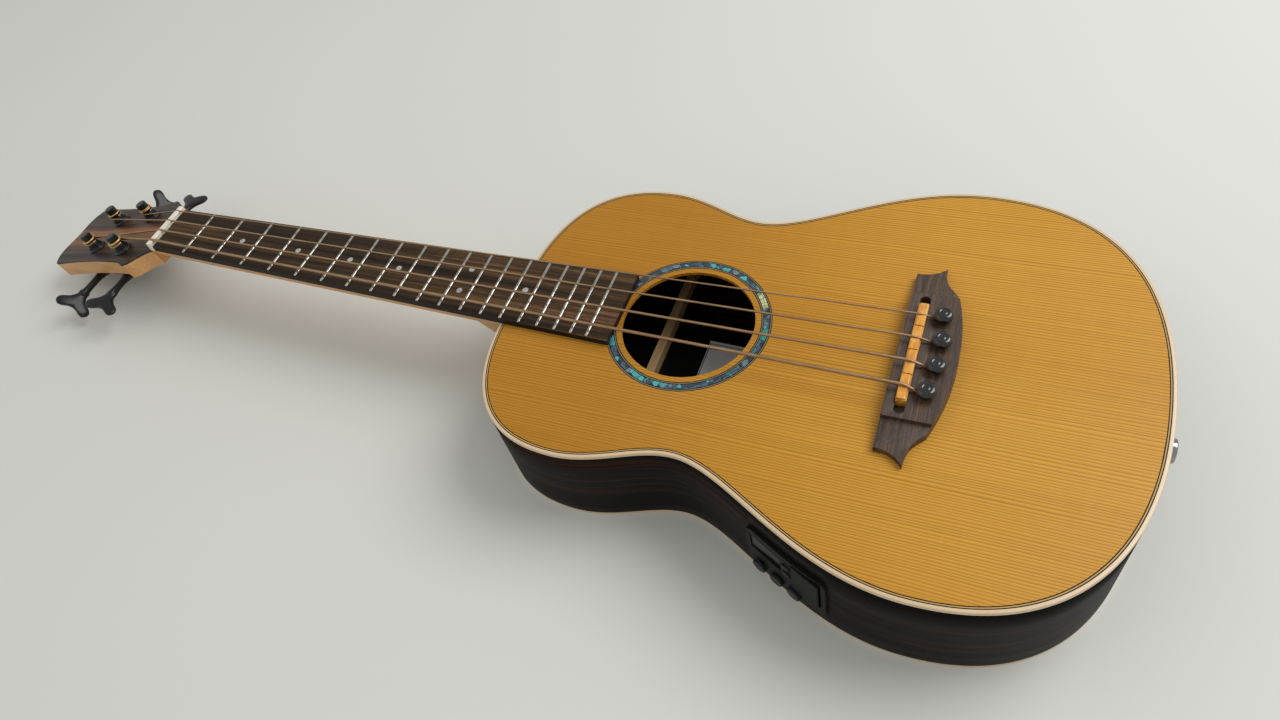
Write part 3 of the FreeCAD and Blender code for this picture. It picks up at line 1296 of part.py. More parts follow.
def inner_leads():
    """One lead from the saddle pickup and one to the jack, both from the preamp's back."""
    frame = side_frame(PANEL_AT)
    first, second = [frame.multVec(Vector(x, y, -HOUSING_DEEP)) for x, y in LEAD_EXITS]
    inward = frame.Rotation.multVec(Vector(0, 0, -1))
    under = -TOP_THICK - BRIDGE_PLATE_THICK
    foot = Vector(SADDLE_X - BRIDGE_PLATE_LONG / 2 + PICKUP_LEAD_FOOT[0], PICKUP_LEAD_FOOT[1], under)
    jack_back = Vector(BODY_END + JACK_PROUD - JACK_LONG, 0, -JACK_DROP)
    to_saddle = [first, first + inward * LEAD_RUNS[0], foot - Vector(0, 0, PICKUP_LEAD_DROP), foot]
    to_jack = [second, second + inward * LEAD_RUNS[1], jack_back - Vector(JACK_LEAD_RUN, 0, 0), jack_back]
    return Part.makeCompound([lead(to_saddle, LEAD_BENDS[0]), lead(to_jack, LEAD_BENDS[1])])


# ---------------------------------------------------------------- the instrument

def build():
    nodes = {
        "soundboard": soundboard(),
        "top_purfling": top_purfling(),
        "top_binding": top_binding(),
        "rosette_abalone": rosette_abalone(),
        "rosette_lines": rosette_lines(),
        "back_plate": back_plate(),
        "back_binding": back_binding(),
        "side_bass": side_bass(),
        "side_treble": side_treble(),
        "linings": linings(),
        "neck_block": neck_block(),
        "tail_block": tail_block(),
        "top_braces": top_braces(),
        "back_braces": back_braces(),
        "bridge_plate": bridge_plate(),
        "label": label(),
        "neck": neck(),
        "truss_rod": truss_rod(),
        "headstock_veneer": headstock_veneer(),
        "fretboard": fretboard(),
        "frets": frets(),
        "position_dots": position_dots(),
        "nut": nut(),
        "bridge": bridge(),
        "saddle": saddle(),
        "saddle_pickup": saddle_pickup(),
        "bridge_pins": bridge_pins(),
        "tuner_bushings": tuner_bushings(),
        "tuner_plates": tuner_plates(),
        "tuner_screws": tuner_screws(),
        "preamp_panel": preamp_panel(),
        "preamp_housing": preamp_housing(),
        "preamp_screen": screen(),
        "battery": battery(),
        "battery_door": battery_door(),
        "jack_barrel": jack_barrel(),
        "jack_nut": jack_nut(),
        "inner_leads": inner_leads(),
    }
    for name in STRINGS:
        nodes["string_" + name] = string(name)
        nodes["winding_" + name] = winding(name)
        nodes["tuner_post_" + name] = tuner_post(name)
        nodes["tuner_key_" + name] = tuner_key(name)
    for name, x in KNOB_AT.items():
        nodes[name] = knob(x)
    for name in BUTTON_AT:
        nodes[name] = button(name)
    return nodes


def lay_on_back(nodes):
    """The placement that lays the back on z = 0 with the origin under the middle of the whole box."""
    level = Placement(Vector(0, 0, 0), Rotation(Vector(0, 1, 0), -math.degrees(BACK_SLOPE)))
    whole = Part.makeCompound([shape for shape in nodes.values()])
    whole.Placement = level
    room = whole.optimalBoundingBox(False, False)
    shift = Vector(-(room.XMin + room.XMax) / 2, -(room.YMin + room.YMax) / 2, -room.ZMin)
    return Placement(shift, level.Rotation)


def main():
    os.makedirs("parts", exist_ok=True)
    nodes = build()
    place = lay_on_back(nodes)
    for name, shape in nodes.items():
        laid = shape.copy()
        laid.Placement = place.multiply(laid.Placement)
        laid.exportStep("parts/" + name + ".step")
    return nodes, place


NODES, PLACE = main()
print(len(NODES), "nodes,", sum(len(shape.Solids) for shape in NODES.values()), "solids")
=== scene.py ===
import bmesh
import bpy
import numpy as np
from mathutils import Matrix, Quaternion, Vector


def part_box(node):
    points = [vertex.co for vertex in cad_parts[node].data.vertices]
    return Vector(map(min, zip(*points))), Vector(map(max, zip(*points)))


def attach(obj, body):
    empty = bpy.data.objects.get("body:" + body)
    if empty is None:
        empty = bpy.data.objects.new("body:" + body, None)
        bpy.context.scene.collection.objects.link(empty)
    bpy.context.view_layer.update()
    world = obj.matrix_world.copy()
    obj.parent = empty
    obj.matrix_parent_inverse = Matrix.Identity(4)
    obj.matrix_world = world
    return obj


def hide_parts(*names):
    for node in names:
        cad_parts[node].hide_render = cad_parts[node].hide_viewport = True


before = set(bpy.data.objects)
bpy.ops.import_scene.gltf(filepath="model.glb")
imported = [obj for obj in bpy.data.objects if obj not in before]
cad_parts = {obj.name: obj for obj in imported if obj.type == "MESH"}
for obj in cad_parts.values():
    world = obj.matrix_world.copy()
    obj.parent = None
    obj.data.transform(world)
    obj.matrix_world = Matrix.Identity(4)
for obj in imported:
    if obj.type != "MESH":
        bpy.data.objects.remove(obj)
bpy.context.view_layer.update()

# ---- camera
# A short lens stands over the bass side of the lower bout and looks down along the neck,
# turned a little so that the neck runs out to the left.
EYE = Vector((0.31467, -0.32858, 0.51649))
AIM = Vector((0.12270, -0.02761, 0.06))
ROLL = np.radians(-14.865)
lens = bpy.data.cameras.new("camera")
lens.lens = 25.388
lens.sensor_width = 36.0
lens.clip_start = 0.01
camera = bpy.data.objects.new("camera", lens)
camera.location = EYE
camera.rotation_mode = "QUATERNION"
camera.rotation_quaternion = (AIM - EYE).to_track_quat("-Z", "Y") @ Quaternion((0, 0, 1), ROLL)
bpy.context.scene.collection.objects.link(camera)
bpy.context.scene.camera = camera
bpy.context.scene.view_settings.view_transform = "Standard"


# ---- floor and studio light
# A pale paper sweep lies flat under the instrument. One large soft light hangs over the far
# side, a weaker one fills from the head, and the room itself is pale.
def tint(red, green, blue):
    """A display colour of 0 to 255 as the linear colour that shaders use."""
    share = np.array([red, green, blue]) / 255.0
    return tuple(np.where(share <= 0.04045, share / 12.92, ((share + 0.055) / 1.055) ** 2.4)) + (1.0,)


class Value:
    """One socket of a finish; arithmetic on it adds Math nodes beside it."""

    def __init__(self, finish, output):
        self.finish = finish
        self.output = output

    def math(self, operation, *terms):
        return self.finish.add("ShaderNodeMath", {"operation": operation}, dict(enumerate(terms)))

    def __add__(self, other):
        return self.math("ADD", self, other)

    def __sub__(self, other):
        return self.math("SUBTRACT", self, other)

    def __rsub__(self, other):
        return self.math("SUBTRACT", other, self)

    def __mul__(self, other):
        return self.math("MULTIPLY", self, other)

    def __truediv__(self, other):
        return self.math("DIVIDE", self, other)

    def __pow__(self, other):
        return self.math("POWER", self, other)

    __radd__ = __add__
    __rmul__ = __mul__

    def fraction(self):
        return self.math("FRACT", self)

    def size(self):
        return self.math("ABSOLUTE", self)

    def rise(self, low, high):
        """0 below low, 1 above high, and a smooth step between."""
        return self.finish.add("ShaderNodeMapRange", {"interpolation_type": "SMOOTHSTEP"},
                               {"Value": self, "From Min": low, "From Max": high})


class Finish:
    """One material. Constants go on the shader's own sockets, and add() makes every other node."""

    def __init__(self, name, **constants):
        self.material = bpy.data.materials.new(name)
        self.material.use_nodes = True
        self.tree = self.material.node_tree
        self.shader = next(node for node in self.tree.nodes if node.type == "BSDF_PRINCIPLED")
        for socket, value in constants.items():
            self.shader.inputs[socket.replace("_", " ")].default_value = value
        self.place = self.add("ShaderNodeTexCoord", out="Object")

    def add(self, kind, settings=None, inputs=None, out=0):
        node = self.tree.nodes.new(kind)
        for name, value in (settings or {}).items():
            if name == "stops":
                for stop, (at, colour) in zip(self.stops(node, len(value)), value):
                    stop.position = at
                    stop.color = colour
            else:
                setattr(node, name, value)
        for name, value in (inputs or {}).items():
            self.feed(node.inputs[name], value)
        return Value(self, node.outputs[out])

    def stops(self, node, count):
        while len(node.color_ramp.elements) < count:
            node.color_ramp.elements.new(0.5)
        return node.color_ramp.elements

    def feed(self, socket, value):
        if isinstance(value, Value):
            self.tree.links.new(value.output, socket)
        else:
            socket.default_value = value

    def stretched(self, along, across, up, source=None):
        """Object coordinates times a number for each axis, so that noise runs along the grain."""
        return self.add("ShaderNodeMapping", {"vector_type": "POINT"},
                        {"Vector": source or self.place, "Scale": (along, across, up)})

    def axis(self, name, source=None):
        return self.add("ShaderNodeSeparateXYZ", {}, {"Vector": source or self.place}, out=name)

    def noise(self, source, scale=1.0, detail=3.0, roughness=0.5, bend=0.0):
        return self.add("ShaderNodeTexNoise", {}, {"Vector": source, "Scale": scale, "Detail": detail,
                                                   "Roughness": roughness, "Distortion": bend})

    def mix(self, first, second, share):
        return self.add("ShaderNodeMix", {"data_type": "RGBA"}, {0: share, 6: first, 7: second}, out=2)

    def ramp(self, value, *stops):
        """A colour ramp. Each stop is its place and a display colour."""
        linear = [(at, tint(*colour)) for at, colour in stops]
        return self.add("ShaderNodeValToRGB", {"stops": linear}, {0: value})

    def bump(self, height, depth, strength=1.0):
        return self.add("ShaderNodeBump", {}, {"Height": height, "Distance": depth, "Strength": strength})

    def wears(self, **sockets):
        for name, value in sockets.items():
            self.feed(self.shader.inputs[name.replace("_", " ")], value)
        return self


def skin(name, lattices, finish, body="root", replaces=(), maps=None, keep=None,
         shut=True, crease=35.0):
    """One mesh from lattices of points, each (rows, columns, 3). Every quad joins a point to the next
    one along its row and column; a lattice that closes repeats its first row or column, and
    points that meet are merged. maps holds a (rows, columns, 2) UV lattice for each."""
    points, quads, spots, start = [], [], [], 0
    for index, lattice in enumerate(lattices):
        rows, columns = lattice.shape[:2]
        numbers = start + np.arange(rows * columns).reshape(rows, columns)
        squares = np.stack([numbers[:-1, :-1], numbers[1:, :-1], numbers[1:, 1:], numbers[:-1, 1:]], -1)
        if keep is not None:
            squares = squares[keep]
        if maps is None:
            along, across = np.meshgrid(np.linspace(0, 1, rows), np.linspace(0, 1, columns), indexing="ij")
            spots.append(np.stack([along, across], -1).reshape(-1, 2))
        else:
            spots.append(np.asarray(maps[index]).reshape(-1, 2))
        points.append(lattice.reshape(-1, 3))
        quads.append(squares.reshape(-1, 4))
        start += rows * columns
    points, quads, spots = np.concatenate(points), np.concatenate(quads), np.concatenate(spots)
    mesh = bpy.data.meshes.new(name)
    mesh.from_pydata(points.tolist(), [], quads.tolist())
    layer = mesh.uv_layers.new(name="UVMap")
    layer.data.foreach_set("uv", spots[quads.reshape(-1)].astype(np.float32).ravel())
    shell = bmesh.new()
    shell.from_mesh(mesh)
    bmesh.ops.remove_doubles(shell, verts=shell.verts, dist=1e-6)
    if shut:
        bmesh.ops.recalc_face_normals(shell, faces=shell.faces)
    shell.to_mesh(mesh)
    shell.free()
    mesh.shade_smooth()
    mesh.set_sharp_from_angle(angle=np.radians(crease))
    return fitted(bpy.data.objects.new(name, mesh), finish, body, replaces)


def fitted(piece, finish, body, replaces):
    """Puts a new piece in the scene with its finish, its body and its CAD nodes."""
    bpy.context.scene.collection.objects.link(piece)
    piece.data.materials.clear()
    piece.data.materials.append(finish.material)
    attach(piece, body)
    if replaces:
        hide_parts(*replaces)
    return piece


def speckled(name, low, high, cloud, rough=None, relief=None, **constants):
    """A finish that wanders between two display colours with one noise. cloud holds the noise's
    scale, detail and roughness; rough, where given, a base and a share of it for Roughness; and
    relief a bump's depth and strength."""
    finish = Finish(name, **constants)
    tone = finish.noise(finish.place, *cloud)
    finish.wears(Base_Color=finish.mix(tint(*low), tint(*high), tone))
    if rough:
        finish.wears(Roughness=rough[0] + tone * rough[1])
    if relief:
        finish.wears(Normal=finish.bump(tone, *relief))
    return finish


paper = speckled("studio_paper", (211, 212, 206), (218, 219, 213), (1.4, 2.0), Roughness=0.9,
                 Specular_IOR_Level=0.2)
FLOOR_HALF = 6.0
side_steps = np.linspace(-FLOOR_HALF, FLOOR_HALF, 3)
floor_x, floor_y = np.meshgrid(side_steps, side_steps, indexing="ij")
floor_mesh = bpy.data.meshes.new("floor")
floor_mesh.from_pydata(np.stack([floor_x, floor_y, floor_x * 0], -1).reshape(-1, 3).tolist(), [],
                       [(0, 3, 4, 1), (1, 4, 5, 2), (3, 6, 7, 4), (4, 7, 8, 5)])
floor_mesh.materials.append(paper.material)
floor = bpy.data.objects.new("floor", floor_mesh)
bpy.context.scene.collection.objects.link(floor)


def soft_light(name, power, size, place, toward):
    lamp = bpy.data.lights.new(name, "AREA")
    lamp.energy = power
    lamp.shape = "DISK"
    lamp.size = size
    holder = bpy.data.objects.new(name, lamp)
    holder.location = place
    holder.rotation_mode = "QUATERNION"
    holder.rotation_quaternion = (Vector(toward) - Vector(place)).to_track_quat("-Z", "Y")
    bpy.context.scene.collection.objects.link(holder)


soft_light("key", 28.0, 1.5, (1.30, 0.80, 1.7), (0.3, 0.0, 0.05))
soft_light("fill", 2.5, 1.6, (-1.3, -0.6, 1.5), (0.0, 0.0, 0.05))
room = bpy.data.worlds.new("room")
room.use_nodes = True
room.node_tree.nodes["Background"].inputs["Color"].default_value = (1.0, 1.0, 0.985, 1.0)
room.node_tree.nodes["Background"].inputs["Strength"].default_value = 0.55
bpy.context.scene.world = room


# ---- lines that the body is built on
# The body is drawn on a centreline from the nut, with the soundboard's face as its level. It
# is deeper at the tail than at the neck, so it lies on its back with the face sloping.
SCALE = 0.580
BODY_START = SCALE * (1 - 2 ** (-14 / 12))
BODY_LONG = 0.4015
DEEP_AT_NECK = 0.069
DEEP_AT_TAIL = 0.0785
BOARD_END = 0.4015
SLOPE = np.arctan2(DEEP_AT_TAIL - DEEP_AT_NECK, BODY_LONG)
NUT_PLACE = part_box("fretboard")[1].x - BOARD_END * np.cos(SLOPE)
NUT_HEIGHT = DEEP_AT_NECK * np.cos(SLOPE) - BODY_START * np.sin(SLOPE)


def laid(x, y, z):
    """From the centreline to the frame: turned by the back's slope about the nut, then shifted."""
    x, y, z = np.broadcast_arrays(x, y, z)
    return np.stack([x * np.cos(SLOPE) - z * np.sin(SLOPE) + NUT_PLACE, y,
                     x * np.sin(SLOPE) + z * np.cos(SLOPE) + NUT_HEIGHT], -1)


UPPER_AT, WAIST_AT, LOWER_AT = 0.075, 0.1465, 0.287
UPPER_HALF, WAIST_HALF, LOWER_HALF = 0.1133, 0.096, 0.1459
RIM_CURVES = np.array([
    [(0, 0), (0, 0.008), (UPPER_AT - 0.089, UPPER_HALF), (UPPER_AT, UPPER_HALF)],
    [(UPPER_AT, UPPER_HALF), (UPPER_AT + 0.029, UPPER_HALF), (WAIST_AT - 0.0225, WAIST_HALF),
     (WAIST_AT, WAIST_HALF)],
    [(WAIST_AT, WAIST_HALF), (WAIST_AT + 0.034, WAIST_HALF), (LOWER_AT - 0.061, LOWER_HALF),
     (LOWER_AT, LOWER_HALF)],
    [(LOWER_AT, LOWER_HALF), (LOWER_AT + 0.064, LOWER_HALF), (BODY_LONG, 0.109), (BODY_LONG, 0)],
])


def rim_half(stations):
    """The half outline at stations 0 to 4, one unit to each cubic curve: points as the sum of the
    poles times their Bernstein weights, and unit normals pointing out of the body."""
    curve = np.minimum(stations.astype(int), 3)
    t = (stations - curve)[:, None]
    poles = RIM_CURVES[curve]
    weights = np.concatenate([(1 - t) ** 3, 3 * t * (1 - t) ** 2, 3 * t ** 2 * (1 - t), t ** 3], 1)
    slopes = np.concatenate([-3 * (1 - t) ** 2, 3 * (1 - t) * (1 - 3 * t), 3 * t * (2 - 3 * t),
                             3 * t ** 2], 1)
    point = np.einsum("ij,ijk->ik", weights, poles) + [BODY_START, 0]
    run = np.einsum("ij,ijk->ik", slopes, poles)
    run /= np.linalg.norm(run, axis=1)[:, None]
    return point, np.stack([-run[:, 1], run[:, 0]], 1)


def back_level(x):
    """Height of the back's outer face under the soundboard's face at x."""
    return -DEEP_AT_NECK - (x - BODY_START) * np.tan(SLOPE)


def length_along(points):
    """Running length of a line of points."""
    return np.concatenate([[0], np.cumsum(np.linalg.norm(np.diff(points, axis=0), axis=1))])


RIM_STEPS = 4 * 56


def round_the_rim(insets, heights, from_back):
    """A profile of insets and heights carried once round the body; heights count up from the
    back where from_back is 1, and from the soundboard's face where it is 0. Returns points and UVs."""
    point, out = rim_half(np.linspace(0, 4, RIM_STEPS + 1))
    flip = np.array([1, -1])
    point = np.concatenate([point * flip, point[::-1][1:]])
    out = np.concatenate([out * flip, out[::-1][1:]])
    x = point[:, :1] - out[:, :1] * insets
    y = point[:, 1:] - out[:, 1:] * insets
    z = heights + from_back * back_level(x)
    run = np.broadcast_to(length_along(point)[:, None], x.shape)
    return laid(x, y, z), np.stack([run, np.broadcast_to(insets, x.shape)], -1)


def coat(finish, *nodes):
    """Gives CAD pieces that keep their shape their finish."""
    for node in nodes:
        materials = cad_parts[node].data.materials
        materials.clear()
        materials.append(finish.material)


# ---- back
# The back is two leaves of dark striped ebony, opened like a book about the centreline and
# glued flat to the sides, with a thin satin lacquer.
TOP_THICK = 0.0024
BACK_THICK = 0.0024
BINDING_WIDE = 0.002


def ebony(name, along):
    """Ebony: near-black ground, long brown-red streaks across the stripe direction, open pores."""
    wood = Finish(name, Coat_Weight=0.04, Coat_Roughness=0.35, Specular_IOR_Level=0.08)
    source = along(wood)
    streak = wood.noise(wood.stretched(2.2, 95.0, 0, source), 1.0, 4.0, 0.55, 0.6)
    broad = wood.noise(wood.stretched(0.9, 22.0, 0, source), 1.0, 2.0, 0.5, 0.4)
    pores = wood.noise(wood.stretched(60.0, 1500.0, 0, source), 1.0, 2.0, 0.6)
    share = (streak - 0.5) * 1.5 + (broad - 0.5) * 1.6 + 0.5
    ground = wood.ramp(share, (0.30, (8, 7, 6)), (0.50, (13, 10, 9)),
                       (0.64, (20, 14, 11)), (0.72, (46, 26, 18)), (0.80, (17, 12, 10)))
    colour = wood.mix(ground, tint(9, 7, 6), (0.42 - pores).rise(0.0, 0.08) * 0.7)
    return wood.wears(Base_Color=colour, Roughness=0.42 + pores * 0.2,
                      Normal=wood.bump(pores, 0.00012, 0.35))


def book_matched(wood):
    mirrored = wood.axis("Y").size()
    return wood.add("ShaderNodeCombineXYZ", {}, {"X": wood.axis("X"), "Y": mirrored})


coat(ebony("ebony_back", book_matched), "back_plate")

# ---- sides
# Each side is one strip of the same ebony, 2 mm thick, bent over a hot iron from the neck to
# the tail. The bass side is cut through for the preamp, whose panel covers the edge.
SIDE_THICK = 0.002
PANEL_AT = 0.082
PANEL_LONG = 0.057
PANEL_TALL = 0.044
PANEL_DROP = 0.042
PANEL_LIP = 0.002
PANEL_CURVE = 2
opening_run = PANEL_AT + (PANEL_LONG / 2 - PANEL_LIP) * np.array([-1, 1])
fine = np.linspace(PANEL_CURVE, PANEL_CURVE + 1, 400)
OPENING_STATIONS = np.interp(opening_run, length_along(rim_half(fine)[0]), fine)
OPENING_LEVELS = -PANEL_DROP + (PANEL_TALL / 2 - PANEL_LIP) * np.array([1, -1])

side_finish = ebony("ebony_side", lambda wood: wood.add("ShaderNodeTexCoord", out="UV"))
for side, hand in (("side_bass", -1), ("side_treble", 1)):
    stations = np.unique(np.concatenate([np.linspace(0, 4, RIM_STEPS + 1), OPENING_STATIONS]))
    point, out = rim_half(stations)
    x = point[:, :1]
    levels = np.array([-TOP_THICK, OPENING_LEVELS[0], -PANEL_DROP, OPENING_LEVELS[1]])
    z = np.concatenate([np.broadcast_to(levels, (len(x), 4)), back_level(x) + BACK_THICK], 1)
    run = np.broadcast_to(length_along(point)[:, None], z.shape)
    wall = np.ones((len(stations) - 1, 4), bool)
    if hand < 0:
        middle = (stations[1:] + stations[:-1]) / 2
        cut = (middle > OPENING_STATIONS[0]) & (middle < OPENING_STATIONS[1])
        wall[cut, 1:3] = False
    lattice = laid(x, hand * point[:, 1:], z)
    spots = np.stack([run + (0.9 if hand > 0 else 0.0), z], -1)
    if hand < 0:
        lattice, spots = lattice[::-1], spots[::-1]
        wall = wall[::-1]
    piece = skin(side, [lattice], side_finish, replaces=[side], maps=[spots],
                 keep=wall, shut=False)
    wall_thickness = piece.modifiers.new("thickness", "SOLIDIFY")
    wall_thickness.thickness = SIDE_THICK
    wall_thickness.offset = -1.0


# ---- blocks, linings, braces and label
# Inside, pale softwood braces cross the top and back, kerfed strips line the rim, and blocks
# of neck wood stand at both ends. A plain paper label is glued to the back under the soundhole.
def plain_wood(name, light, dark, pitch=900.0, lines=0.4, grain=(1, 1, 1), gloss=0.0):
    """Straight-grained wood: fine fibres stretched along the grain, and slow darker bands."""
    wood = Finish(name, Coat_Weight=gloss, Coat_Roughness=0.25)
    fibre = wood.noise(wood.stretched(*[pitch * step for step in grain]), 1.0, 3.0, 0.6)
    band = wood.noise(wood.stretched(*[pitch * 0.12 * step for step in grain]), 1.0, 2.0, 0.5, 0.5)
    share = (band - 0.5) * 2.0 * (1 - lines) + (fibre - 0.5) * 2.2 * lines + 0.5
    colour = wood.mix(dark, light, share.rise(0.0, 1.0))
    return wood.wears(Base_Color=colour, Roughness=0.5 + fibre * 0.15 - gloss * 0.2,
                      Normal=wood.bump(fibre, 0.0001, 0.3))


brace_wood = plain_wood("brace_wood", tint(214, 184, 138), tint(176, 138, 92), 700.0, 0.5, (1, 0.03, 1))
block_wood = plain_wood("block_wood", tint(176, 122, 80), tint(128, 80, 48), 800.0, 0.5, (1, 1, 0.04))
coat(brace_wood, "top_braces", "back_braces", "bridge_plate")
coat(block_wood, "neck_block", "tail_block")

KERF_PITCH = 0.006
lining = Finish("kerfed_lining", Roughness=0.75)
kerf = (lining.axis("X") / KERF_PITCH).fraction()
# Painted shade: each kerf slot is painted dark brown, standing in for the shade inside the saw cut.
cut = 1 - (kerf - 0.5).size().rise(0.02, 0.09)
tone = lining.noise(lining.stretched(40, 900, 900), 1.0, 3.0)
lining.wears(Base_Color=lining.mix(lining.mix(tint(150, 108, 66), tint(190, 146, 98), tone),
                                   tint(48, 30, 18), cut * 0.8),
             Normal=lining.bump(1 - cut, 0.0012))
coat(lining, "linings")

LABEL_SPOT = laid(0.471, -0.002, 0)
label = Finish("label_paper", Roughness=0.85)
off_x = (label.axis("X") - LABEL_SPOT[0]).size()
off_y = (label.axis("Y") - LABEL_SPOT[1]).size()
frame_line = (off_x.rise(0.0280, 0.0282) - off_x.rise(0.0288, 0.0290)) * (1 - off_y.rise(0.0384, 0.0386)) \
    + (off_y.rise(0.0380, 0.0382) - off_y.rise(0.0388, 0.0390)) * (1 - off_x.rise(0.0288, 0.0290))
fibres = label.noise(label.place, 900.0, 4.0, 0.7)
paper_age_and_painted_light = label.mix(tint(196, 196, 192), tint(222, 221, 214), fibres)
label.wears(Base_Color=label.mix(paper_age_and_painted_light, tint(70, 70, 72), frame_line * 0.8),
            Normal=label.bump(fibres, 0.00005))
coat(label, "label")


# ---- soundboard
# The soundboard is two book-matched leaves of straight-grained spruce, cedar-coloured, with its
# growth lines along its length, wider towards the edges, under a thin satin finish.
RING_SPACING = 0.0020

top = Finish("soundboard_wood", Coat_Weight=0.06, Coat_Roughness=0.3, Specular_IOR_Level=0.2)
across = top.axis("Y").size()
drift = (top.noise(top.stretched(1.6, 14.0, 0), 1.0, 3.0, 0.5) - 0.5) * 0.010
uneven = (top.noise(top.stretched(0.6, 90.0, 0), 1.0, 2.0, 0.5) - 0.5) * 0.006
rings = ((across * 0.92 + across * across * 0.9 + drift + uneven) / RING_SPACING).fraction()
late = rings ** 1.6 * (1 - rings.rise(0.90, 1.0))
strength = top.noise(top.stretched(0.9, 190.0, 0), 1.0, 3.0, 0.6)
fibre = top.noise(top.stretched(14.0, 1500.0, 400.0), 1.0, 2.0, 0.5)
silk = top.noise(top.stretched(160.0, 26.0, 0), 1.0, 2.0, 0.5, 1.0)
broad = top.noise(top.stretched(1.1, 11.0, 0), 1.0, 3.0, 0.55)
ground = top.mix(tint(194, 134, 30), tint(216, 160, 58), (broad - 0.5) * 1.8 + 0.5 + (silk - 0.5) * 0.35)
lines = late * (0.45 + strength * 0.7)
# Painted light and shade: the soundboard is painted darker and more orange towards the neck and lighter
# towards the tail, for how the light falls across it.
paper_age_and_painted_light = top.axis("X").rise(0.10, 0.34)
ground = top.mix(top.mix(tint(150, 94, 14), ground, paper_age_and_painted_light * 0.5 + 0.5), tint(222, 172, 74), paper_age_and_painted_light * 0.22)
colour = top.mix(ground, tint(138, 82, 14), lines)
colour = top.mix(colour, tint(226, 172, 62), (fibre - 0.45) * 0.4)
top.wears(Base_Color=colour, Roughness=0.38 + fibre * 0.12,
          Normal=top.bump(late * 0.6 + fibre * 0.4, 0.00006, 0.5))
coat(top, "soundboard")

# ---- rosette
# The rosette is a ring of abalone chips set in the soundboard between two fine sets of black
# and white lines, all sanded flush with the wood.
HOLE_AT = 0.446
HOLE_R = 0.043
LINES_IN = HOLE_R + 0.0037
LINES_WIDE = 0.0017
ABALONE_WIDE = 0.0035
# radians round the ring from its tail end, where two bright chips lie
TURQUOISE_AT = 0.02
YELLOW_AT = 0.58
HOLE_SPOT = laid(HOLE_AT, 0, 0)


def from_hole(finish):
    """Offset from the middle of the soundhole, flat, and the distance from it."""
    offset = finish.add("ShaderNodeVectorMath", {"operation": "SUBTRACT"},
                        {0: finish.place, 1: tuple(HOLE_SPOT)})
    flat = finish.add("ShaderNodeVectorMath", {"operation": "MULTIPLY"}, {0: offset, 1: (1, 1, 0)})
    return flat, finish.add("ShaderNodeVectorMath", {"operation": "LENGTH"}, {0: flat}, out="Value")


line_finish = Finish("rosette_lines", Roughness=0.4, Specular_IOR_Level=0.15)
flat, away = from_hole(line_finish)
inner = ((away - LINES_IN) / (LINES_WIDE / 3) - 1.5).size()
outer = ((away - LINES_IN - LINES_WIDE - ABALONE_WIDE) / (LINES_WIDE / 3) - 1.5).size()
white = 1 - inner.math("MINIMUM", inner, outer).rise(0.45, 0.6)
speck = line_finish.noise(line_finish.place, 1500.0, 2.0)
line_finish.wears(Base_Color=line_finish.mix(line_finish.mix(tint(6, 5, 5), tint(16, 14, 13), speck),
                                             line_finish.mix(tint(112, 106, 88), tint(140, 132, 112),
                                                             speck), white))
coat(line_finish, "rosette_lines")

shell = Finish("abalone_shell", Roughness=0.22, Coat_Weight=0.25, Coat_Roughness=0.1)
flat, away = from_hole(shell)
# chips are laid end to end: their pattern runs on the way round the ring and the way across it
turn = flat.math("ARCTAN2", shell.axis("Y", flat), shell.axis("X", flat))
laid_out = shell.add("ShaderNodeCombineXYZ", {}, {"X": turn * 13.0, "Y": away * 240.0})
chip = shell.add("ShaderNodeTexVoronoi", {"feature": "F1"}, {"Vector": laid_out, "Scale": 1.0}, out="Color")
chip_tone = shell.axis("X", chip)
chip_light = shell.axis("Y", chip)
swirl = shell.noise(shell.stretched(1.0, 2.0, 1.0, laid_out), 2.4, 4.0, 0.6, 2.2)
hue = chip_tone * 0.55 + swirl * 0.6
colours = shell.ramp(hue, (0.22, (28, 34, 42)), (0.40, (56, 64, 80)), (0.52, (42, 68, 76)),
                     (0.62, (92, 100, 124)), (0.74, (64, 116, 114)), (0.90, (136, 140, 160)))
lit = shell.mix(colours, tint(84, 196, 196), (chip_light - 0.80).rise(0.0, 0.05) * 0.8)
lit = shell.mix(lit, tint(60, 176, 150), (1 - (turn - TURQUOISE_AT).size().rise(0.07, 0.10)) * 0.7)
lit = shell.mix(lit, tint(222, 226, 160), (1 - (turn - YELLOW_AT).size().rise(0.08, 0.16)) * 0.85)
seam = shell.add("ShaderNodeTexVoronoi", {"feature": "DISTANCE_TO_EDGE"},
                 {"Vector": laid_out, "Scale": 1.0})
shell.wears(Base_Color=shell.mix(tint(24, 30, 34), lit, seam.rise(0.0, 0.05)),
            Metallic=0.2 + chip_light * 0.2,
            Normal=shell.bump(swirl, 0.0002, 0.6))
coat(shell, "rosette_abalone")


# ---- binding and purfling
# Plain maple strips bind both edges of the body, rounded at the corner. Inside the top one a
# dark, pale, dark line of thin veneers is let into the soundboard.
EDGE_ROUND = 0.0006
arc = np.linspace(0, np.pi / 2, 5)
maple = Finish("maple_binding", Roughness=0.35, Coat_Weight=0.4, Coat_Roughness=0.2)
around = maple.add("ShaderNodeTexCoord", out="UV")
grain = maple.noise(maple.stretched(70, 2500, 0, around), 1.0, 3.0)
flecks = maple.noise(maple.stretched(260, 1800, 0, around), 1.0, 2.0, 0.6)
maple.wears(Base_Color=maple.mix(maple.mix(tint(202, 172, 132), tint(224, 200, 164), grain),
                                 tint(186, 150, 106),
                                 flecks.rise(0.58, 0.7) * 0.5), Normal=maple.bump(grain, 0.00004))
corner_in = EDGE_ROUND * (1 - np.cos(arc))
corner_up = EDGE_ROUND * (1 - np.sin(arc))
strip_in = np.concatenate([[0], corner_in, [BINDING_WIDE, BINDING_WIDE, 0]])
strip_drop = np.concatenate([[TOP_THICK], corner_up, [0, TOP_THICK, TOP_THICK]])
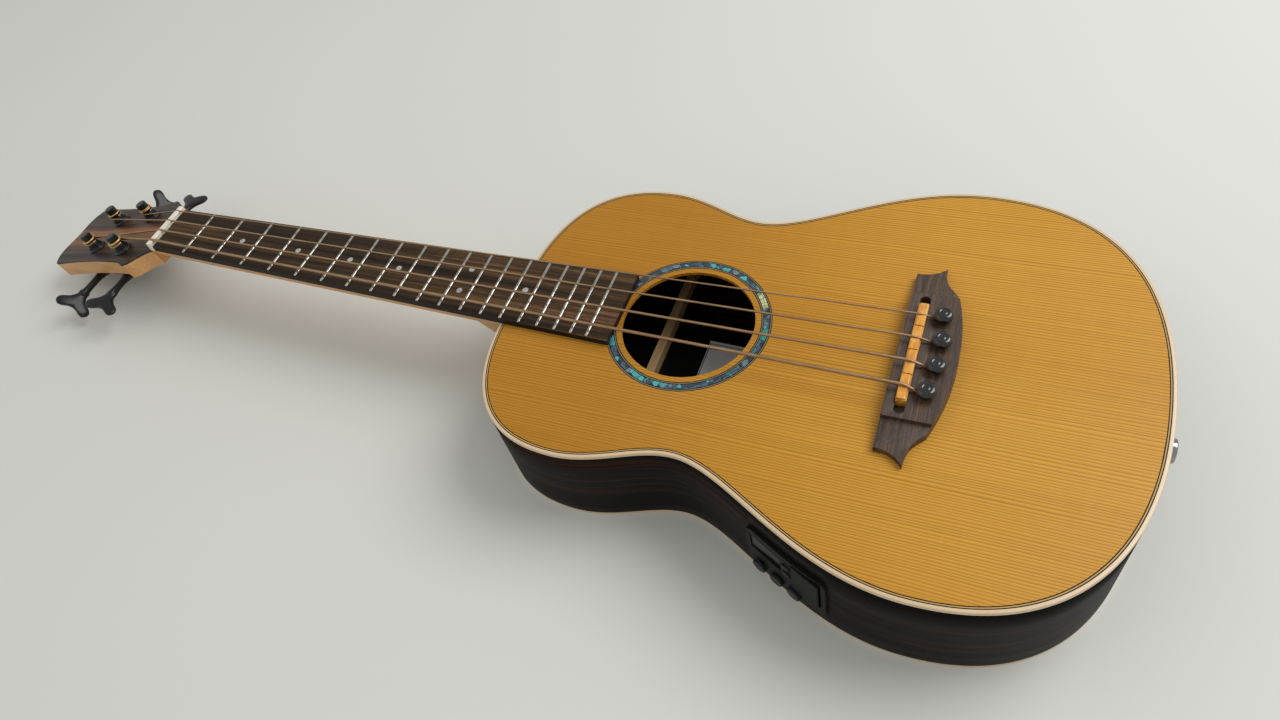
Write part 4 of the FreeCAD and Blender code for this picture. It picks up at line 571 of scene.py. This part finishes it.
for node, from_back, up in (("top_binding", 0, -1), ("back_binding", 1, 1)):
    lattice, spots = round_the_rim(strip_in, up * strip_drop, from_back)
    skin(node, [lattice], maple, replaces=[node], maps=[spots])

PURFLING_LINE = 0.0006
PURFLING_DEEP = 0.0012
veneers = Finish("purfling_veneers", Roughness=0.4, Specular_IOR_Level=0.15)
inset = veneers.axis("Y", veneers.add("ShaderNodeTexCoord", out="UV"))
middle = 1 - ((inset - BINDING_WIDE) / PURFLING_LINE - 1.5).size().rise(0.45, 0.55)
speck = veneers.noise(veneers.place, 1200.0, 2.0)
veneers.wears(Base_Color=veneers.mix(veneers.mix(tint(5, 4, 5), tint(14, 12, 11), speck),
                                     veneers.mix(tint(176, 140, 84), tint(206, 172, 112), speck), middle))
edges = BINDING_WIDE + PURFLING_LINE * np.array([0, 1, 2, 3, 3, 0, 0])
lattice, spots = round_the_rim(edges, -PURFLING_DEEP * np.array([0, 0, 0, 0, 1, 1, 0]), 0)
skin("top_purfling", [lattice], veneers, replaces=["top_purfling"], maps=[spots])


# ---- neck
# The neck, heel and head are one piece of orange-brown mahogany, carved round behind and
# finished thin and satin, with the truss rod in a channel under the fretboard.
neck_wood = plain_wood("neck_mahogany", tint(222, 172, 108), tint(190, 132, 72), 900.0, 0.55, (0.03, 1, 1),
                       0.3)
coat(neck_wood, "neck")
rod_steel = speckled("rod_steel", (120, 120, 122), (160, 160, 160), (400.0,), Metallic=1.0, Roughness=0.4)
coat(rod_steel, "truss_rod")

# ---- fretboard
# The fretboard is oiled rosewood: brown, with straight dark streaks and open pores along its
# length; its edges and end, which do not face up, carry painted shade and are nearly black.
rosewood = Finish("rosewood_board", Roughness=0.5, Specular_IOR_Level=0.2)
streak = rosewood.noise(rosewood.stretched(3.0, 320.0, 200.0), 1.0, 4.0, 0.6, 0.5)
tone = rosewood.noise(rosewood.stretched(1.5, 60.0, 0), 1.0, 3.0, 0.5, 0.4)
pore = rosewood.noise(rosewood.stretched(140.0, 2600.0, 900.0), 1.0, 2.0, 0.6)
share = (streak - 0.5) * 1.4 + (tone - 0.5) * 1.2 + 0.5
face = rosewood.ramp(share, (0.25, (34, 24, 14)), (0.5, (62, 45, 27)), (0.66, (88, 64, 38)),
                     (0.8, (120, 88, 60)))
face = rosewood.mix(face, tint(30, 20, 15), (0.44 - pore).rise(0, 0.07) * 0.75)
# Painted shade: every face that does not point up, the board's edges and end, is painted nearly black.
facing_up_unshaded = rosewood.axis("Z", rosewood.add("ShaderNodeTexCoord", out="Normal")).rise(0.3, 0.8)
rosewood.wears(Base_Color=rosewood.mix(tint(26, 22, 20), face, facing_up_unshaded), Roughness=0.42 + pore * 0.25,
               Normal=rosewood.bump(pore, 0.00015, 0.4))
coat(rosewood, "fretboard")

# ---- frets
# Nineteen frets of nickel silver wire are pressed into slots across the board, dressed to a
# round crown and filed over at both ends.
FRET_COUNT = 19
BOARD_THICK = 0.0046
BOARD_AT_NUT = 0.0422
BOARD_AT_END = 0.058
FRET_HALF_WIDE = 0.0011
FRET_TALL = 0.0009
FRET_INSET = 0.0005
FRET_FILED = 0.0009
fret_x = SCALE * (1 - 2 ** (-np.arange(1, FRET_COUNT + 1) / 12))
fret_reach = (BOARD_AT_NUT + (BOARD_AT_END - BOARD_AT_NUT) * fret_x / BOARD_END) / 2 - FRET_INSET
crown = np.linspace(0, np.pi, 13)
# across the crown an ellipse, down to a flat foot in the board; along it the height falls at both ends
along = np.array([-1, -1, -1, 0, 1, 1, 1])
drawn_in = np.array([0, 0.0, 1, 0, -1, 0, 0]) * FRET_FILED
height = np.array([0, 0.35, 1, 1, 1, 0.35, 0])
wire_x = np.concatenate([np.cos(crown), [-1, 1, 1]])
wire_z = np.concatenate([np.sin(crown), [-0.3, -0.3, 0]])
wire = laid(fret_x[:, None, None] + FRET_HALF_WIDE * wire_x * np.minimum(height + 0.4, 1)[:, None],
            (fret_reach[:, None] * along + drawn_in)[:, :, None],
            BOARD_THICK + FRET_TALL * wire_z * height[:, None])
nickel = Finish("fret_nickel", Metallic=1.0, Roughness=0.22)
rubbed = nickel.noise(nickel.stretched(300.0, 4000.0, 300.0), 1.0, 3.0)
nickel.wears(Base_Color=nickel.mix(tint(166, 162, 154), tint(198, 194, 186), rubbed),
             Roughness=0.16 + rubbed * 0.16,
             Normal=nickel.bump(rubbed, 0.00002, 0.4))
skin("frets", list(wire), nickel, replaces=["frets"], crease=50)

# ---- position dots
# The dots are discs of grey mother-of-pearl, let in flush between the frets.
pearl = Finish("pearl_dots", Roughness=0.2, Coat_Weight=0.6)
cloud = pearl.noise(pearl.place, 480.0, 4.0, 0.6, 1.5)
pearl.wears(Base_Color=pearl.ramp(cloud, (0.3, (138, 142, 144)), (0.5, (168, 170, 168)),
                                  (0.7, (192, 188, 182))),
            Normal=pearl.bump(cloud, 0.0001, 0.4))
coat(pearl, "position_dots")


# ---- nut
# The nut is a bone blank, glued against the end of the fretboard, slotted for the strings and
# rounded over on both top edges.
def softened(node, finish, width, body="root", steps=3, corner=38.0):
    """A CAD piece with its sharp edges eased: a merged copy of its mesh with a narrow bevel."""
    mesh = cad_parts[node].data.copy()
    mesh.name = node + "_eased"
    shell = bmesh.new()
    shell.from_mesh(mesh)
    bmesh.ops.remove_doubles(shell, verts=shell.verts, dist=1e-6)
    bmesh.ops.dissolve_limit(shell, angle_limit=np.radians(0.6), verts=shell.verts, edges=shell.edges)
    shell.to_mesh(mesh)
    shell.free()
    if mesh.has_custom_normals:
        mesh.normals_split_custom_set([(0, 0, 0)] * len(mesh.loops))
    mesh.shade_smooth()
    mesh.set_sharp_from_angle(angle=np.radians(corner))
    piece = fitted(bpy.data.objects.new(node + "_eased", mesh), finish, body, [node])
    edge = piece.modifiers.new("eased", "BEVEL")
    edge.width = width
    edge.segments = steps
    edge.limit_method = "ANGLE"
    edge.angle_limit = np.radians(corner)
    edge.harden_normals = False
    return piece


bone = Finish("bone", Roughness=0.32, Coat_Weight=0.2, Subsurface_Weight=0.1)
bone.shader.inputs["Subsurface Radius"].default_value = (0.002, 0.0016, 0.001)
bone_cloud = bone.noise(bone.stretched(200.0, 60.0, 400.0), 1.0, 4.0, 0.6)
bone.wears(Base_Color=bone.ramp(bone_cloud, (0.3, (206, 198, 176)), (0.5, (228, 222, 206)),
                                (0.7, (238, 234, 222))),
           Normal=bone.bump(bone_cloud, 0.00006, 0.4))
softened("nut", bone, 0.0004)

# ---- head veneer
# The face of the head carries a dark striped veneer, with a lighter orange-brown band down
# its middle.
HEAD_TILT = np.radians(12.6)
NUT_THICK = 0.0046


def on_head(u, y, h):
    """From the head's own lines (u to the tip, y to the treble side, h off its face) to the frame."""
    u, y, h = np.broadcast_arrays(u, y, h)
    return laid(-u * np.cos(HEAD_TILT) - h * np.sin(HEAD_TILT) - NUT_THICK, y,
                -u * np.sin(HEAD_TILT) + h * np.cos(HEAD_TILT))


head = Finish("head_veneer", Coat_Weight=0.12, Coat_Roughness=0.3, Specular_IOR_Level=0.3)
bend = (head.noise(head.stretched(6.0, 10.0, 0), 1.0, 2.0) - 0.5) * 0.012
line = head.axis("Y") + bend
lane = head.noise(head.add("ShaderNodeCombineXYZ", {}, {"X": head.axis("X") * 3.0, "Y": line * 170.0}),
                  1.0, 4.0, 0.55, 0.3)
middle = 1 - ((line + 0.001).size()).rise(0.006, 0.013)
dark = head.ramp(lane, (0.30, (24, 20, 18)), (0.48, (42, 32, 26)), (0.6, (78, 54, 38)),
                 (0.75, (50, 38, 30)))
warm = head.ramp(lane, (0.3, (104, 64, 32)), (0.6, (150, 96, 52)), (0.8, (112, 74, 42)))
pore = head.noise(head.stretched(120.0, 2600.0, 400.0), 1.0, 2.0)
head.wears(Base_Color=head.mix(dark, warm, middle * 0.85), Roughness=0.4 + pore * 0.2,
           Normal=head.bump(pore, 0.0001, 0.3))
coat(head, "headstock_veneer")


# ---- tuner bushings, plates and screws
# Each tuner is a black open-gear machine: a bell-shaped bushing on the face of the head, and a
# pressed plate with two bearing ears on its back, held by four small cross-head screws.
POST_AT = {"e": (0.0415, -0.0193), "a": (0.084, -0.016), "d": (0.084, 0.016), "g": (0.0415, 0.0193)}
HEAD_THICK = 0.015
PLATE_THICK = 0.0018


def turned(profile, steps=48):
    """A profile of (radius, height) turned once about the z axis, as x, y and z lattices."""
    radius, height = np.array(profile).T
    angle = np.linspace(0, 2 * np.pi, steps + 1)
    return (np.outer(radius, np.cos(angle)), np.outer(radius, np.sin(angle)),
            np.outer(height, np.ones(steps + 1)))


def rounded(profile, turns=2):
    """A profile with its corners cut back evenly: each pass puts two points on every side, a
    quarter from each end."""
    line = np.array(profile, float)
    for _ in range(turns):
        near = line[:-1] * 0.75 + line[1:] * 0.25
        far = line[:-1] * 0.25 + line[1:] * 0.75
        line = np.concatenate([line[:1], np.stack([near, far], 1).reshape(-1, 2), line[-1:]])
    return line


black_metal = Finish("tuner_black", Roughness=0.34, Specular_IOR_Level=0.35, Coat_Weight=0.15,
                     Coat_Roughness=0.2)
cast = black_metal.noise(black_metal.place, 1400.0, 3.0)
smear = black_metal.noise(black_metal.place, 60.0, 3.0)
black_metal.wears(Base_Color=black_metal.mix(tint(7, 7, 8), tint(15, 15, 17), smear),
                  Roughness=0.26 + smear * 0.2,
                  Normal=black_metal.bump(cast, 0.00004, 0.4))
BELL = rounded([(0.00495, 0.0044), (0.0058, 0.0044), (0.0061, 0.0040), (0.0060, 0.0024), (0.0073, 0.0013),
                (0.0076, 0.0001), (0.00495, 0.0001)])
bells = []
for u, y in POST_AT.values():
    bell_x, bell_y, bell_z = turned(np.concatenate([BELL, BELL[:1]]))
    bells.append(on_head(u + bell_x, y + bell_y, bell_z))
skin("tuner_bushings", bells, black_metal, replaces=["tuner_bushings"])
softened("tuner_plates", black_metal, 0.00035)

SCREW_R = 0.0025
SCREW_TALL = 0.0014
PLATE_SHIFT = 0.005
screw_u = 0.020 - 0.0036
screw_y = 0.012 - 0.0036
ring_share, ring_angle = np.meshgrid(np.linspace(0, 1, 15), np.linspace(0, 2 * np.pi, 41), indexing="ij")
cross_x = ring_share * np.cos(ring_angle)
cross_y = ring_share * np.sin(ring_angle)
# a dome of the head's height, less a cross whose arms are a fifth of the head wide
in_cross = (np.minimum(np.abs(cross_x), np.abs(cross_y)) < 0.13) & (ring_share < 0.62)
dome = SCREW_TALL * np.sqrt(np.clip(1 - 0.98 * ring_share ** 2.6, 0, 1)) - 0.0008 * in_cross
heads = []
for u, y in POST_AT.values():
    for a, b in ((-1, -1), (-1, 1), (1, -1), (1, 1)):
        low = -HEAD_THICK - PLATE_THICK
        lid = on_head(u + PLATE_SHIFT + a * screw_u + SCREW_R * cross_x,
                      y + b * screw_y + SCREW_R * cross_y, low - dome)
        base = on_head(u + PLATE_SHIFT + a * screw_u + SCREW_R * cross_x[[-1, 0]],
                       y + b * screw_y + SCREW_R * cross_y[[-1, 0]], low - dome[[-1, -1]] * [[1], [0]])
        heads.append(np.concatenate([lid, base[1:]]))
skin("tuner_screws", heads, black_metal, replaces=["tuner_screws"], crease=30)

# ---- tuner posts and worm wheels
# The string posts are turned and blacked, with a capped top and a flange over the bushing; a
# twenty-tooth brass wheel is pressed on below the plate.
POST_CAP = [(0, 0.0149), (0.0030, 0.0152), (0.0038, 0.0151), (0.0043, 0.0145), (0.0043, 0.0116),
            (0.0040, 0.0112)]
POST_SHANK = [(0.0040, 0.0060), (0.0047, 0.0059), (0.0049, 0.0056), (0.0049, 0.0047), (0.0049, -0.0188),
              (0, -0.0188)]
WHEEL_TOP = 0.0188
WHEEL_TALL = 0.004
WHEEL_TEETH = 20
WHEEL_ROOT = 0.00625
TOOTH_TALL = 0.00125
brass = speckled("wheel_brass", (150, 116, 62), (196, 160, 96), (350.0, 3.0), (0.24, 0.2), (0.00004,),
                 Metallic=1.0, Roughness=0.3)
wheel_angle = np.linspace(0, 2 * np.pi, WHEEL_TEETH * 12 + 1)
tooth = np.clip(1.5 * np.cos(WHEEL_TEETH * wheel_angle) + 0.35, 0, 1)
wheel_r = WHEEL_ROOT + TOOTH_TALL * tooth
for name, (u, y) in POST_AT.items():
    post_x, post_y, post_z = turned(POST_CAP + POST_SHANK)
    body = "post_" + name
    skin("tuner_post_" + name, [on_head(u + post_x, y + post_y, post_z)], black_metal, body,
         replaces=["tuner_post_" + name])
    share = np.array([0, 0.7, 0.72, 0.96, 1, 1, 0.96, 0.72, 0.7, 0])[:, None]
    drop = np.array([0, 0, 0.0004, 0.0004, 0.0007, 0.0033, 0.0036, 0.0036, WHEEL_TALL, WHEEL_TALL])[:, None]
    skin("worm_wheel_" + name, [on_head(u + share * wheel_r * np.cos(wheel_angle),
                                        y + share * wheel_r * np.sin(wheel_angle), -WHEEL_TOP - drop)],
         brass, body, crease=30)

# ---- tuner keys
# Each key is one casting: a two-lobed blade on a stem that ends in the worm, which lies across
# the head between the plate's ears.
WORM_OFFSET = 0.0103
WORM_DROP = 0.0208
WORM_PITCH = np.pi * 0.0007
KEY_END = 0.069
KEY_LONG = 0.021
KEY_TURN = {"e": -62.0, "a": -32.0, "d": 24.0, "g": 82.0}
BEAR_IN = 0.009
WORM_HALF = 0.006
THREAD_HALF = 0.0044
THREAD_ROOT = 0.0028
THREAD_TALL = 0.0009
# half of the blade's outline, from the stem round a lobe to the dip between the lobes
LOBE = np.array([(0.0000, 0.0034), (0.0050, 0.0040), (0.0095, 0.0072), (0.0128, 0.0118), (0.0155, 0.0136),
                 (0.0186, 0.0132), (0.0208, 0.0106), (0.0203, 0.0074), (0.0184, 0.0038), (0.0176, 0.0)])


def closed_loop(points, steps):
    """A smooth closed line through points: between two of them a cubic whose slopes are half the
    step between their neighbours."""
    before, after, last = np.roll(points, 1, 0), np.roll(points, -1, 0), np.roll(points, -2, 0)
    t = np.linspace(0, 1, steps, endpoint=False)[None, :, None]
    a, b, c, d = (part[:, None, :] for part in (before, points, after, last))
    line = 0.5 * (2 * b + (c - a) * t + (2 * a - 5 * b + 4 * c - d) * t ** 2
                  + (3 * b - a - 3 * c + d) * t ** 3)
    line = line.reshape(-1, points.shape[1])
    return np.concatenate([line, line[:1]])


outline = closed_loop(np.concatenate([LOBE, LOBE[-2::-1] * [1, -1]]), 8)
spine = np.stack([np.clip(outline[:, 0], 0.0020, 0.0150), np.zeros(len(outline))], 1)
shares = np.concatenate([np.sin(np.linspace(0, np.pi / 2, 9)), np.sin(np.linspace(np.pi / 2, 0, 9))[1:]])
faces = np.concatenate([np.cos(np.linspace(0, np.pi / 2, 9)), -np.cos(np.linspace(np.pi / 2, 0, 9))[1:]])
# a pillow: rings drawn in from the outline to the spine while the thickness rises as a quarter circle
ring = spine + shares[:, None, None] * (outline - spine)
BLADE_HALF = 0.0024
blade_run, blade_side = ring[..., 0], ring[..., 1]
blade_off = BLADE_HALF * np.sign(faces)[:, None] * np.abs(faces[:, None]) ** 0.7 * np.ones(len(outline))
worm_z, worm_angle = np.meshgrid(np.linspace(-WORM_HALF, WORM_HALF, 121), np.linspace(0, 2 * np.pi, 49),
                                 indexing="ij")
# the thread: distance to the nearest crest, which climbs one pitch each turn, as a flat-topped ridge
crest = np.abs((worm_z / WORM_PITCH - worm_angle / (2 * np.pi) + 0.5) % 1 - 0.5)
faded = np.clip((THREAD_HALF - np.abs(worm_z)) / 0.0004 + 1, 0, 1)
worm_r = THREAD_ROOT + THREAD_TALL * np.clip((0.24 - crest) / 0.11, 0, 1) * faded
for name, (u, y) in POST_AT.items():
    hand = np.sign(y)
    reach = KEY_END - abs(y)
    turn = np.radians(KEY_TURN[name])

    def on_key(x, z_side, run):
        """From the key's own lines (run out along the stem) to the frame, on its side of the head."""
        across = x * np.cos(turn) - z_side * np.sin(turn)
        lift = x * np.sin(turn) + z_side * np.cos(turn)
        return on_head(u + WORM_OFFSET + across, y + hand * run, -WORM_DROP - hand * lift)

    stem = rounded([(0.0, -BEAR_IN), (0.0026, -BEAR_IN), (0.0026, 0.0092), (0.0034, 0.0095),
                    (0.0036, 0.0120),
                    (0.0028, 0.0150), (0.0027, reach - KEY_LONG - 0.004), (0.0034, reach - KEY_LONG + 0.001),
                    (0.0026, reach - KEY_LONG + 0.006), (0.0, reach - KEY_LONG + 0.008)], 1)
    stem_x, stem_y, stem_z = turned(stem, 32)
    parts = [on_key(-blade_off, blade_side, blade_run + reach - KEY_LONG), on_key(stem_x, stem_y, stem_z),
             on_key(worm_r * np.cos(worm_angle), worm_r * np.sin(worm_angle), worm_z)]
    skin("tuner_key_" + name, parts, black_metal, "key_" + name, replaces=["tuner_key_" + name],
         crease=50)

# ---- bridge
# The bridge is a rosewood block, grained across the top, full height in the middle with a
# belly behind the pins, and stepped down to thinner wings.
bridge_wood = Finish("bridge_rosewood", Roughness=0.45, Coat_Weight=0.12, Coat_Roughness=0.35)
wave = bridge_wood.noise(bridge_wood.stretched(60.0, 9.0, 60.0), 1.0, 2.0, 0.5) * 0.010
x_run, y_run, z_run = (bridge_wood.axis(name) for name in "XYZ")
source = bridge_wood.add("ShaderNodeCombineXYZ", {}, {"X": (x_run + wave) * 420.0, "Y": y_run * 9.0,
                                                      "Z": z_run * 200.0})
streak = bridge_wood.noise(source, 1.0, 4.0, 0.6, 0.5)
pore = bridge_wood.noise(bridge_wood.stretched(2600.0, 160.0, 2600.0), 1.0, 2.0, 0.6)
face = bridge_wood.ramp(streak, (0.28, (38, 27, 19)), (0.46, (64, 46, 32)), (0.6, (88, 64, 44)),
                        (0.72, (112, 74, 42)))
bridge_wood.wears(Base_Color=bridge_wood.mix(face, tint(28, 20, 16), (0.45 - pore).rise(0, 0.08) * 0.8),
                  Roughness=0.38 + pore * 0.2, Normal=bridge_wood.bump(pore, 0.00015, 0.4))
softened("bridge", bridge_wood, 0.0006)

# ---- saddle and its pickup
# The saddle is a strip of amber-coloured bone in a round-ended slot, cut into one pad for each
# string, with a thin pickup strip under it.
amber = Finish("amber_bone", Roughness=0.35, Coat_Weight=0.3, Subsurface_Weight=0.08)
amber.shader.inputs["Subsurface Radius"].default_value = (0.002, 0.001, 0.0004)
cloud = amber.noise(amber.stretched(300.0, 90.0, 300.0), 1.0, 4.0, 0.6, 0.6)
amber.wears(Base_Color=amber.ramp(cloud, (0.3, (198, 126, 34)), (0.5, (222, 154, 54)),
                                  (0.7, (236, 180, 84))),
            Normal=amber.bump(cloud, 0.00008, 0.4))
softened("saddle", amber, 0.00025)
coat(brass, "saddle_pickup")

# ---- bridge pins
# Four black pins stand in a shallow arc behind the saddle, each turned with a domed head, a
# ring groove round its crown and a collar that holds it off the bridge.
PIN_SPREAD = 0.0552
PIN_ARC = 0.0022
SADDLE_X = 0.5855
PIN_BACK = 0.0146
PIN_PROFILE = rounded([(0, 0.01625), (0.0014, 0.0162), (0.0018, 0.0159), (0.0022, 0.0159), (0.0027, 0.0162),
                       (0.0040, 0.01605), (0.0052, 0.0152), (0.0059, 0.0140), (0.0059, 0.0128),
                       (0.0050, 0.0119), (0.0036, 0.0117), (0.0035, 0.0110), (0.0033, -0.0100), (0, -0.0108)])
gloss_black = speckled("pin_black", (5, 5, 6), (13, 13, 15), (240.0, 4.0, 0.6), (0.08, 0.12),
                       (0.00003, 0.3), Roughness=0.12, Coat_Weight=0.6, Coat_Roughness=0.05)
pins = []
for index in range(4):
    back = 0.0 if index in (1, 2) else -PIN_ARC
    pin_x, pin_y, pin_z = turned(PIN_PROFILE)
    pins.append(laid(SADDLE_X + PIN_BACK + back + pin_x, PIN_SPREAD * (index / 3 - 0.5) + pin_y, pin_z))
skin("bridge_pins", pins, gloss_black, replaces=["bridge_pins"], crease=60)


# ---- strings
# Four wound bronze strings run from the posts over the nut and saddle and down beside the pins
# to their brass balls. The last turns lie round each post.
STRING_D = {"e": 0.0021, "a": 0.00175, "d": 0.0014, "g": 0.00115}
NUT_SPREAD = 0.0334
SADDLE_SPREAD = 0.0526
POST_R = 0.004
WINDING_LOW = 0.0063
WINDING_HIGH = 0.0152 - 0.0042
STRING_GAP = 0.00015
OVER_NUT = BOARD_THICK + FRET_TALL + 0.0013
SADDLE_TOP = 0.0124
PIN_R = 0.0035
BRIDGE_THICK = 0.009
WRAP_PITCH = 0.00045


def tube(line, radius, across, sides=12):
    """A round rod along a line of points: circles square to the line's run, closed at both ends.
    The UV map holds the length along it and the turn round it."""
    run = np.gradient(line, axis=0)
    run /= np.linalg.norm(run, axis=1)[:, None]
    side = np.cross(run, across)
    side /= np.linalg.norm(side, axis=1)[:, None]
    up = np.cross(side, run)
    angle = np.linspace(0, 2 * np.pi, sides + 1)[None, :, None]
    ring = line[:, None] + radius * (np.cos(angle) * side[:, None] + np.sin(angle) * up[:, None])
    first = np.broadcast_to(line[0], (1, sides + 1, 3))
    last = np.broadcast_to(line[-1], (1, sides + 1, 3))
    length = length_along(line)
    length = np.concatenate([[0], length, length[-1:]])[:, None]
    spots = np.stack(np.broadcast_arrays(length, np.linspace(0, 1, sides + 1)[None]), -1)
    return np.concatenate([first, ring, last]), spots


def eased_corners(points, reach):
    """Straight runs with each corner replaced by a short curve that starts and ends reach from it."""
    line = [points[:1]]
    t = np.linspace(0, 1, 7)[:, None]
    for before, corner, after in zip(points, points[1:], points[2:]):
        into = corner - before
        out = after - corner
        short = min(reach, 0.4 * np.linalg.norm(into), 0.4 * np.linalg.norm(out))
        start = corner - into / np.linalg.norm(into) * short
        end = corner + out / np.linalg.norm(out) * short
        line.append((1 - t) ** 2 * start + 2 * t * (1 - t) * corner + t ** 2 * end)
    line.append(points[-1:])
    return np.concatenate(line)


def wound(name, roughness, dim, lit, groove, patch, groove_shade_share, rub, rub_share):
    """Bronze wrap wire: a ridge for each turn along the UV length, with painted shade darkening the grooves
    between.
    """
    finish = Finish(name, Metallic=1.0, Roughness=roughness)
    along = finish.axis("X", finish.add("ShaderNodeTexCoord", out="UV"))
    ridge = ((along / WRAP_PITCH).fraction() - 0.5).size() * 2.0
    dull = finish.noise(finish.place, patch, 3.0)
    # Painted shade: the grooves between the turns are mixed toward the darker groove colour.
    return finish.wears(Base_Color=finish.mix(finish.mix(tint(*dim), tint(*lit), dull), tint(*groove),
                                              ridge.rise(0.6, 1.0) * groove_shade_share),
                        Roughness=rub + dull * rub_share, Normal=finish.bump(1 - ridge ** 2, 0.00008, 0.5))


bronze = wound("string_bronze", 0.35, (150, 118, 86), (196, 164, 128), (96, 72, 52), 90.0, 0.6, 0.28, 0.2)
gold = wound("winding_bronze", 0.3, (196, 152, 82), (232, 200, 132), (120, 84, 40), 120.0, 0.5, 0.24, 0.16)
for index, name in enumerate("eadg"):
    u, y = POST_AT[name]
    radius = STRING_D[name] / 2
    hand = np.sign(y)
    nut_y = NUT_SPREAD * (index / 3 - 0.5)
    saddle_y = SADDLE_SPREAD * (index / 3 - 0.5)
    pin_y = PIN_SPREAD * (index / 3 - 0.5)
    pin_x = SADDLE_X + PIN_BACK - (0.0 if index in (1, 2) else PIN_ARC) - PIN_R + radius
    turn_r = POST_R + radius + STRING_GAP
    bearing = np.arctan2(nut_y - y, -u)
    touch = bearing + np.arccos(turn_r / np.hypot(u, nut_y - y)) * hand
    # the turn round the post at the string's own height, then the straight run to the nut
    lap = touch + hand * np.linspace(1.55 * np.pi, 0.06, 40)
    round_post = on_head(u + turn_r * np.cos(lap), y + turn_r * np.sin(lap), WINDING_LOW + radius)
    knots = np.concatenate([
        on_head(u + turn_r * np.cos(touch), y + turn_r * np.sin(touch), WINDING_LOW + radius)[None],
        laid(np.array([-NUT_THICK * 0.6, 0, SADDLE_X, pin_x, pin_x]),
             np.array([nut_y, nut_y, saddle_y, pin_y, pin_y]),
             np.array([OVER_NUT + radius, OVER_NUT + radius, SADDLE_TOP + radius, BRIDGE_THICK, -0.0055]))])
    straight = eased_corners(knots, 0.0025)
    ring_lattice, ring_spots = tube(round_post, radius, np.array([0.0, 0.0, 1.0]))
    run_lattice, run_spots = tube(straight, radius, np.array([0.0, 1.0, 0.0]))
    skin("string_" + name, [ring_lattice, run_lattice], bronze, replaces=["string_" + name],
         maps=[ring_spots, run_spots])
    low = WINDING_LOW + STRING_D[name] + STRING_GAP + radius
    high = WINDING_HIGH - STRING_GAP - radius
    turns = max(1.0, (high - low) / STRING_D[name] + 0.15)
    lap = touch + hand * np.linspace(0, 2 * np.pi * turns, int(48 * turns))
    climb = np.linspace(low, high, len(lap))
    coil, coil_spots = tube(on_head(u + (turn_r - STRING_GAP) * np.cos(lap),
                                    y + (turn_r - STRING_GAP) * np.sin(lap), climb),
                            radius, np.array([0.0, 0.0, 1.0]))
    skin("winding_" + name, [coil], gold, "post_" + name, replaces=["winding_" + name],
         maps=[coil_spots])

# ---- preamp
# A moulded black panel follows the bass side, screwed over its case: a dark display, three small
# knobs along its lower edge, two push buttons, and a hinged door over the battery.
moulded = Finish("moulded_black", Roughness=0.45, Specular_IOR_Level=0.2)
pebble = moulded.noise(moulded.place, 2600.0, 2.0)
dust = moulded.noise(moulded.place, 120.0, 4.0, 0.7)
moulded.wears(Base_Color=moulded.mix(tint(8, 8, 9), tint(17, 17, 18), dust), Roughness=0.42 + dust * 0.2,
              Normal=moulded.bump(pebble, 0.00004, 0.5))
grey_cap = speckled("cap_grey", (20, 20, 21), (36, 36, 38), (200.0, 4.0, 0.7), (0.32, 0.2), (0.00003, 0.5),
                    Roughness=0.4, Specular_IOR_Level=0.3)
display = speckled("display_window", (7, 8, 9), (13, 15, 15), (300.0, 2.0), Roughness=0.3, Coat_Weight=0.2,
                   Specular_IOR_Level=0.3)
softened("preamp_panel", moulded, 0.0005)
softened("battery_door", moulded, 0.0003, body="battery_door")
softened("preamp_screen", display, 0.0002)
for knob in ("volume_knob", "bass_knob", "treble_knob", "tuner_button", "phase_button"):
    softened(knob, grey_cap, 0.00015, body=knob)
coat(moulded, "preamp_housing")
cell = speckled("battery_skin", (150, 116, 60), (182, 146, 84), (200.0, 3.0), (0.3, 0.15), Metallic=0.5,
                Roughness=0.35)
coat(cell, "battery")

# ---- end jack and leads
# The output jack is a chromed barrel through the tail block, held by a washer and a round nut
# that doubles as a strap button. Two black leads run inside from the preamp.
chrome = speckled("jack_chrome", (120, 122, 126), (176, 178, 182), (150.0, 4.0, 0.6), (0.05, 0.12),
                  (0.00003, 0.3), Metallic=1.0, Roughness=0.08)
softened("jack_barrel", chrome, 0.0002)
softened("jack_nut", chrome, 0.0003)
rubber = speckled("lead_rubber", (20, 20, 20), (38, 37, 36), (500.0, 3.0), None, (0.0001, 0.4),
                  Roughness=0.6)
coat(rubber, "inner_leads")
